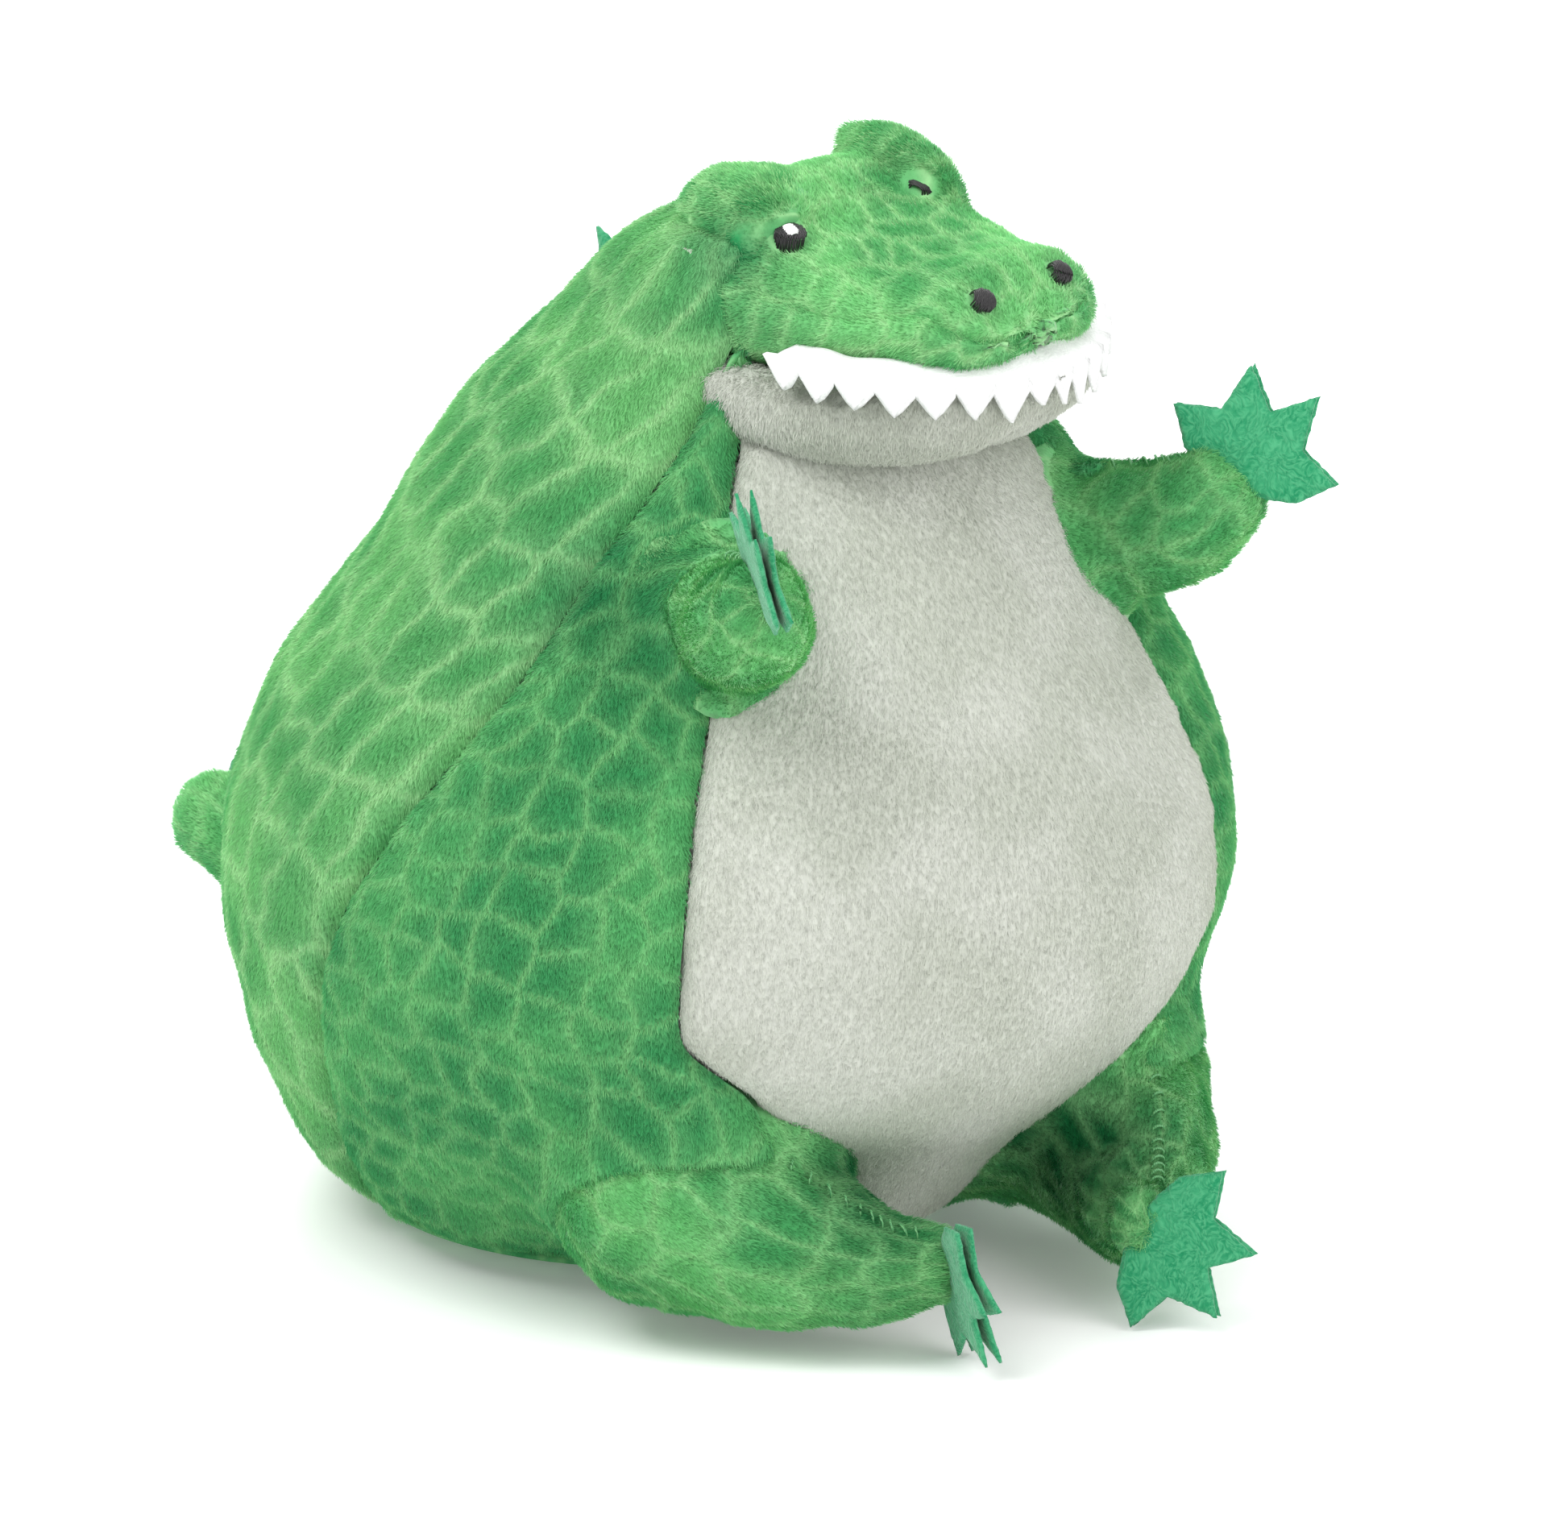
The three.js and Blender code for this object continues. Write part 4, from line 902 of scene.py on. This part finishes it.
def felt_piece(name, body, outline, origin, x_axis, y_axis, material, slot, thickness=FELT, bend=0.0, seed=1):
    """A cut of felt: its outline lies in the plane of two axes, its edges are a little thinner and rough.
    It gives back the piece, its flat size and its area, in metres."""
    random = np.random.default_rng(seed)
    loop = []
    outline = np.array(outline, float)
    for a, b in zip(outline, np.roll(outline, -1, 0)):
        steps = max(1, round(np.linalg.norm(b - a) / EDGE_STEP))
        loop += [a + (b - a) * k / steps for k in range(steps)]
    loop = np.array(loop)
    loop = loop + random.normal(size=loop.shape) * 0.07
    low, high = loop.min(0), loop.max(0)
    gx, gy = np.meshgrid(np.arange(low[0], high[0], FELT_STEP), np.arange(low[1], high[1], FELT_STEP))
    inner = np.stack([gx.ravel(), gy.ravel()], -1)
    # A point is inside the outline if a line from it crosses the outline an odd number of times.
    start, stop = loop, np.roll(loop, -1, 0)
    run_x, run_y = (stop - start).T
    x, y = inner[:, :1], inner[:, 1:]
    meets = x < run_x * (y - start[:, 1]) / np.where(run_y == 0, 1e-9, run_y) + start[:, 0]
    crossing = ((start[:, 1] > y) != (stop[:, 1] > y)) & meets
    gap = np.sqrt(((inner[:, None] - loop[None]) ** 2).sum(-1)).min(1)
    inner = inner[(crossing.sum(1) % 2 == 1) & (gap > 0.5)]
    every = [Vector(p) for p in np.concatenate([loop, inner])]
    made = delaunay_2d_cdt(every, [], [list(range(len(loop)))], 1, 1e-5)
    flat = np.array([list(p) for p in made[0]])
    faces = np.array([list(f) for f in made[2]])
    rim_gap = np.sqrt(((flat[:, None] - loop[None]) ** 2).sum(-1)).min(1)
    half = thickness / 2 * (0.4 + 0.6 * (1 - np.exp(-rim_gap / 0.5)))
    x_axis, y_axis = unit(np.array(x_axis, float)), unit(np.array(y_axis, float))
    out = np.cross(x_axis, y_axis)
    lift = bend * (flat**2).sum(-1) / 100
    base = origin + flat[:, :1] * x_axis + flat[:, 1:] * y_axis + lift[:, None] * out
    half = half + 0.06 * waves(base, 2.6, seed)
    n = len(flat)
    edges = {(a, b): True for face in faces for a, b in zip(face, np.roll(face, -1))}
    rim = [(a, b) for a, b in edges if (b, a) not in edges]
    sides = [[b, a, a + n, b + n] for a, b in rim]
    points = np.concatenate([base + half[:, None] * out, base - half[:, None] * out])
    obj = mesh_object(name, points, [*faces.tolist(), *(faces[:, ::-1] + n).tolist(), *sides])
    attach(obj, body, [name], slot, material)
    area = abs((start[:, 0] * stop[:, 1] - stop[:, 0] * start[:, 1]).sum()) / 2
    return obj, (high - low) * MM, area * MM * MM


TOE_ANGLES = (74, 21, -21, -74)   # degrees from the paw's middle line
TOE_REACH = 18.0                  # from the sewn edge to a toe's tip
WEB_REACH = 10.8                  # and to the notch between two toes


def paw_outline():
    def polar(angle, reach):
        a = math.radians(angle)
        return -math.sin(a) * reach, math.cos(a) * reach

    points = [(-11, -1.5)]
    for i, angle in enumerate(TOE_ANGLES):
        outer = i in (0, len(TOE_ANGLES) - 1)
        points.append(polar(angle, TOE_REACH * (0.92 if outer else 1)))
        if i < len(TOE_ANGLES) - 1:
            points.append(polar((angle + TOE_ANGLES[i + 1]) / 2, WEB_REACH))
    points.append((11, -1.5))
    return points + [(x, -4 + 2.5 * (x / 11) ** 2) for x in (6, 2, -2, -6)]


def make_paw(name, body, limb, seed):
    along = unit(limb["along"])
    normal = unit(limb["normal"] - along * np.dot(limb["normal"], along))
    across = np.cross(along, normal)
    for k, (layer, lift) in enumerate((("front", 1), ("back", -1))):
        origin = limb["paw_root"] + normal * lift * (GAP / 2 + FELT / 2)
        obj, size, area = felt_piece(f"{name}_felt_{layer}", body, paw_outline(), origin, across, along,
                                     FELT_GREEN, "green_felt", FELT * 0.95, bend=0.16 * lift, seed=seed + k)


def make_limbs():
    for n, (word, _) in enumerate(SIDES):
        for m, (kind, paw) in enumerate((("arm", "hand"), ("leg", "foot"))):
            limb = LIMBS[f"{kind}_{word}"]
            seed = 60 + 10 * m + 5 * n
            make_sleeve(f"{kind}_{word}_sleeve", limb, f"{kind}_{word}", "limb", seed)
            make_paw(f"{kind}_{word}", f"{paw}_{word}", limb, seed)
    make_sleeve("tail_skin", LIMBS["tail"], "tail", "limb", 90)


# ---- spikes ----
SPINE_SPIKES = 6
SPINE_TOP, SPINE_BOTTOM = 164.0, 66.0


def spike(name, body, root, along, out, base, height, seed):
    along = unit(along - out * np.dot(along, out))
    outline = [(-base / 2, -1.6), (base / 2, -1.6), (base / 2, 0), (base * 0.1, height), (-base / 2, 0)]
    felt_piece(name, body, outline, root, along, out, FELT_GREEN, "green_felt", seed=seed)


def make_spikes():
    for i in range(SPINE_SPIKES):
        t = place_of(BODY_STATIONS, SPINE_TOP + (SPINE_BOTTOM - SPINE_TOP) * i / (SPINE_SPIKES - 1))
        root = body_skin(180.0, t)
        up = unit(body_skin(180.0, t + 0.01) - body_skin(180.0, t - 0.01))
        out = np.array([0, up[2], -up[1]])
        spike(f"spine_spike_{i + 1}", "root", root + out * GAP * 2, up, out, 11, 9, 110 + i)
    tail = LIMBS["tail"]
    for i, t in enumerate((0.55, 0.93)):
        along = unit(path_at(tail, t + 0.01) - path_at(tail, t - 0.01))
        out = unit(np.array([0, 0, 1.0]) - along * along[2])
        root = path_at(tail, t) + out * (13 + (10 - 13) * t + GAP * 4)
        spike(f"tail_spike_{i + 1}", "tail", root, along, out, 10, 9, 120 + i)


# ---- teeth ----
TEETH = 17
TOOTH_COLUMNS = 8                 # grid columns in each tooth
STRIP_BACK = 41.0                 # forward distance of the strip's two ends
STRIP_SPREAD = 92.0               # degrees either side of straight ahead that it runs round to
# Half-width, reach forward and height of the strip's sewn edge, its bend and the notches between its teeth.
STRIP_ROWS = ((29.0, 28.5, 174.0), (34.5, 33.0, 171.3), (37.2, 35.0, 170.6))
TOOTH_DROP = 6.2                  # from the notches down to a middling tooth's tip


def make_teeth():
    columns = TEETH * TOOTH_COLUMNS
    across = np.linspace(-1, 1, columns + 1)
    angle = np.radians(across * STRIP_SPREAD)
    random = np.random.default_rng(77)
    phase = (across + 1) / 2 * TEETH
    size = random.uniform(0.8, 1.3, TEETH)[np.minimum(phase.astype(int), TEETH - 1)]
    saw = (1 - np.abs(2 * (phase % 1) - 1)) * size
    rows = []
    for level in np.linspace(0, 1, 13):
        part = min(level * 2, 1), max(level * 2 - 1, 0)
        half, reach, height = (a + (b - a) * part[0] + (c - b) * part[1] for a, b, c in zip(*STRIP_ROWS))
        bend = np.sign(np.sin(angle)) * np.abs(np.sin(angle)) ** 1.2
        ends = np.abs(across) ** 3
        z = height + (1.5 + 3.5 * level) * ends - saw * TOOTH_DROP * part[1] * (1 - 0.35 * ends)
        rows.append(from_head(half * bend, STRIP_BACK + reach * np.cos(angle), z))
    grid = outward(np.array(rows), from_head(0, 40, 160))
    normals = grid_normals(grid)
    grid = grid + normals * (0.25 * waves(grid, 9.0, 71))[..., None]
    points = grid.reshape(-1, 3)
    faces = grid_faces(*grid.shape[:2])
    closed, sides = shell(points, normals.reshape(-1, 3), faces, FELT * 0.8)
    teeth = mesh_object("teeth_strip", closed, sides)
    attach(teeth, "root", ["teeth_strip"], "white_felt", FELT_WHITE)


# ---- threads ----
SATIN_THREAD, SEWING_THREAD = 0.19, 0.24    # radii
SATIN_PITCH = 0.27                # between neighbouring threads of the embroidery


def tube(points, radius, sides=6):
    """A thread along points, with closed ends: its vertices and faces."""
    points = np.array(points, float)
    heading = unit(np.gradient(points, axis=0))
    guide = np.array([0.31, 0.52, 0.79])
    across = unit(np.cross(heading, guide))
    upward = np.cross(heading, across)
    turn = np.linspace(0, 2 * math.pi, sides, endpoint=False)
    size = radius * np.where(np.arange(len(points)) % (len(points) - 1) == 0, 0.5, 1.0)
    rings = points[:, None] + size[:, None, None] * (across[:, None] * np.cos(turn)[None, :, None]
                                                     + upward[:, None] * np.sin(turn)[None, :, None])
    faces = grid_faces(len(points), sides, True)[:, ::-1].tolist()
    last = (len(points) - 1) * sides
    return rings.reshape(-1, 3), faces + [list(range(sides)), [last + k for k in reversed(range(sides))]]


def threads(name, body, runs, radius, material, slot, nodes=None):
    """One piece made of a thread along each run of points."""
    points, faces, start = [], [], 0
    for run in runs:
        made, sides = tube(run, radius)
        points.append(made)
        faces += [[start + i for i in side] for side in sides]
        start += len(made)
    obj = mesh_object(name, np.concatenate(points), faces)
    if nodes:
        attach(obj, body, nodes, slot, material)
        return
    obj.data.materials.append(material)
    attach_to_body(obj, body)


def head_spot(side, forward, angle):
    """A point of the upper head's outside and the way that it faces."""
    t = place_of(HEAD_STATIONS, forward)
    centre = section(HEAD_STATIONS, np.float64(side * angle), t)
    beside = section(HEAD_STATIONS, np.float64(side * (angle + 4)), t) - centre
    ahead = section(HEAD_STATIONS, np.float64(side * angle), t + 0.02) - centre
    return centre, unit(np.cross(ahead, beside)) * side


def satin(name, node, centre, normal, wide, tall, height, slant, material, slot, seed):
    """A satin-stitched oval: threads laid side by side, each going down into the cloth at both ends."""
    random = np.random.default_rng(seed)
    across = unit(np.cross([0, 0, 1.0], normal))
    upward = np.cross(normal, across)
    c, s = math.cos(math.radians(slant)), math.sin(math.radians(slant))
    along, beside = across * c + upward * s, upward * c - across * s
    reach = math.hypot(wide * s, tall * c)
    runs = []
    for offset in np.arange(-reach, reach + 0.01, SATIN_PITCH):
        near = max(0.0, 1 - (offset / reach) ** 2) ** 0.5
        half = near * wide * tall / reach + random.uniform(-0.18, 0.22)
        if half < 0.5:
            continue
        s_run = np.linspace(-1, 1, 9)
        rise = height * (0.35 + 0.65 * near) * (1 - np.abs(s_run) ** 3) - 1.4 * (np.abs(s_run) > 0.99)
        skew = random.uniform(-0.1, 0.1)
        runs.append([centre + beside * (offset + skew * k) + along * half * k + normal * h
                     for k, h in zip(s_run, rise)])
    threads(name, "root", runs, SATIN_THREAD, material, slot, [node])


EYE = (28.5, 29.0)                # forward distance and angle on the head
NOSTRIL = (66.0, 26.0)


def make_embroidery():
    for n, (word, side) in enumerate(SIDES):
        centre, normal = head_spot(side, *EYE)
        satin("eye_" + word, "eye_" + word, centre + normal * 0.5, normal, 2.7, 3.6, 1.2, 68, BLACK,
              "black_thread", 200 + n)
        satin("shine_" + word, "eye_highlight_" + word, centre + normal * 1.65, normal, 1.2, 1.55, 0.4, 20,
              WHITE, "white_thread", 210 + n)
        centre, normal = head_spot(side, *NOSTRIL)
        satin("nostril_" + word, "nostril_" + word, centre - normal * 0.1, normal, 2.2, 2.5, 1.1, 60, BLACK,
              "black_thread", 220 + n)


def clear_of_thread(points):
    """Where pile may grow: not under the embroidery."""
    gaps = [np.linalg.norm(points - head_spot(side, *spot)[0], axis=-1) - reach
            for _, side in SIDES for spot, reach in ((EYE, 3.9), (NOSTRIL, 2.8))]
    return np.minimum.reduce(gaps) > 0


STITCH_SPAN = 2.6                 # across the closed seam
# The first and last place of the stitches on a limb, and how many.
STITCHES = {"arm": (0.35, 0.98, 8), "leg": (0.36, 0.95, 10)}


def make_stitches():
    """The ladder stitches that close each limb along its upper edge."""
    for name, limb in LIMBS.items():
        kind = name.split("_")[0]
        if kind not in STITCHES:
            continue
        random = np.random.default_rng(300 + len(name))
        first, last, count = STITCHES[kind]
        runs = []
        for t in np.linspace(first, last, count):
            centre, r = path_at(limb, t), radius_at(limb, t)
            along = unit(path_at(limb, min(t + 0.02, 1)) - path_at(limb, t - 0.02))
            toward = np.array([0, 0, 1.0]) + 0.5 * unit(limb["at"][-1] * [1, 1, 0]) * (kind == "leg")
            out = unit(toward - along * np.dot(toward, along))
            beside = np.cross(along, out)
            slant = random.uniform(0.2, 0.7)
            runs.append([centre + (beside * k + along * slant * k) * STITCH_SPAN / 2
                         + out * (r - 0.9 - 1.2 * k**4 - 0.02 * (k * STITCH_SPAN) ** 2)
                         for k in np.linspace(-1, 1, 7)])
        threads(name + "_ladder_stitches", name, runs, SEWING_THREAD, DARK_THREAD, "green_plush")


# ---- what is inside ----
# How far a filling keeps inside its CAD solid: furthest in the body, clear of the drawn-in seams.
BODY_SINK, BAG_SINK, LIMB_SINK = 3.4, 1.0, 2.0
VOXEL = 2.5


def make_fillings():
    """Each filling is its CAD solid, remeshed, drawn in and made lumpy."""
    for name, node in list(frame["nodes"].items()):
        bag = name == "pellet_bag"
        if not (bag or name.endswith("_stuffing")):
            continue
        made = new_object(name, node.data.copy())
        remesh = made.modifiers.new("Remesh", "REMESH")
        remesh.mode = "VOXEL"
        remesh.voxel_size = VOXEL * MM
        smooth = bpy.data.meshes.new_from_object(made.evaluated_get(bpy.context.evaluated_depsgraph_get()))
        bpy.data.objects.remove(made)
        n = len(smooth.vertices)
        points, normals = np.empty(n * 3), np.empty(n * 3)
        smooth.vertices.foreach_get("co", points)
        smooth.vertices.foreach_get("normal", normals)
        points, normals = points.reshape(-1, 3) / MM, normals.reshape(-1, 3)
        sink = BAG_SINK if bag else BODY_SINK if name.startswith("body") else LIMB_SINK
        lumps = 0.5 * waves(points, 9.0, 5) + 0.3 * waves(points, 4.0, 6)
        points = points - normals * (sink - lumps)[:, None]
        smooth.vertices.foreach_set("co", (points * MM).ravel())
        smooth.polygons.foreach_set("use_smooth", [True] * len(smooth.polygons))
        smooth.materials.clear()
        body = next(b for b, names in frame["record"]["behaviour"]["bodies"].items() if name in names)
        slot, material = ("bag_cloth", BAG_CLOTH) if bag else ("fibre_filling", FILLING)
        attach(new_object(name, smooth), body, [name], slot, material)


# ---- camera, light and floor ----
AZIMUTH = math.radians(-37)
ELEVATION = math.radians(18)
DISTANCE = 12.0                   # far off, so that the view is nearly without perspective
FRAME_WIDTH = 0.2724              # what the camera takes in, across the toy's middle
AIM_ACROSS, AIM_UP = 0.0095, 0.0788    # from the body's axis at the ground to the middle of the view
SENSOR = 36.0                     # the camera's width, which scales its focal length
FLOOR_RADIUS, FLOOR_SIDES = 4000.0, 96
LAMP_AIM = 0.09                   # height of the point that the lamps face


def make_stage():
    back = Vector((math.sin(AZIMUTH) * math.cos(ELEVATION), -math.cos(AZIMUTH) * math.cos(ELEVATION),
                   math.sin(ELEVATION)))
    right = Vector((math.cos(AZIMUTH), math.sin(AZIMUTH), 0))
    up = back.cross(right)
    target = Vector(SHIFT) + right * AIM_ACROSS + up * AIM_UP
    camera = bpy.data.cameras.new("camera")
    camera.sensor_width = SENSOR
    camera.lens = SENSOR * DISTANCE / FRAME_WIDTH
    camera.clip_end = 100
    holder = new_object("camera", camera)
    holder.location = target + back * DISTANCE
    holder.rotation_euler = (-back).to_track_quat("-Z", "Y").to_euler()
    bpy.context.scene.camera = holder
    turn = np.linspace(0, 2 * math.pi, FLOOR_SIDES, endpoint=False)
    disc = np.stack([np.cos(turn), np.sin(turn), 0 * turn], -1) * FLOOR_RADIUS - SHIFT / MM
    floor = mesh_object("floor", disc, [list(range(FLOOR_SIDES))])
    nodes = Nodes("floor", 0.9, 0.1)
    place = nodes.add("TexCoord").outputs["Object"]
    nodes.colour(nodes.mix(nodes.noise(place, 3.0), linear((250, 250, 250)), linear((253, 253, 253))))
    nodes.shader.inputs["Emission Color"].default_value = (1, 1, 1, 1)
    nodes.shader.inputs["Emission Strength"].default_value = 0.12
    floor.data.materials.append(nodes.material)
    lamp("key", back * 0.5 - right * 0.75 + Vector((0, 0, 1.15)), 0.9, 15.0)
    lamp("fill", back * 0.9 + right * 0.9 + Vector((0, 0, 0.5)), 1.1, 7.0)
    lamp("rim", -back * 0.8 + right * 0.1 + Vector((0, 0, 1.1)), 1.0, 8.0)
    world = bpy.data.worlds.new("studio")
    world.use_nodes = True
    world.node_tree.nodes["Background"].inputs[0].default_value = (1, 1, 1, 1)
    world.node_tree.nodes["Background"].inputs[1].default_value = 0.75
    bpy.context.scene.world = world
    bpy.context.scene.view_settings.view_transform = "Standard"


def lamp(name, place, size, power):
    light = bpy.data.lights.new(name, "AREA")
    light.size = size
    light.energy = power
    holder = new_object(name, light)
    holder.location = Vector((0, 0, LAMP_AIM)) + place
    holder.rotation_euler = (-place).to_track_quat("-Z", "Y").to_euler()


make_stage()
make_body()
make_head()
make_limbs()
make_spikes()
make_teeth()
make_embroidery()
make_stitches()
make_fillings()
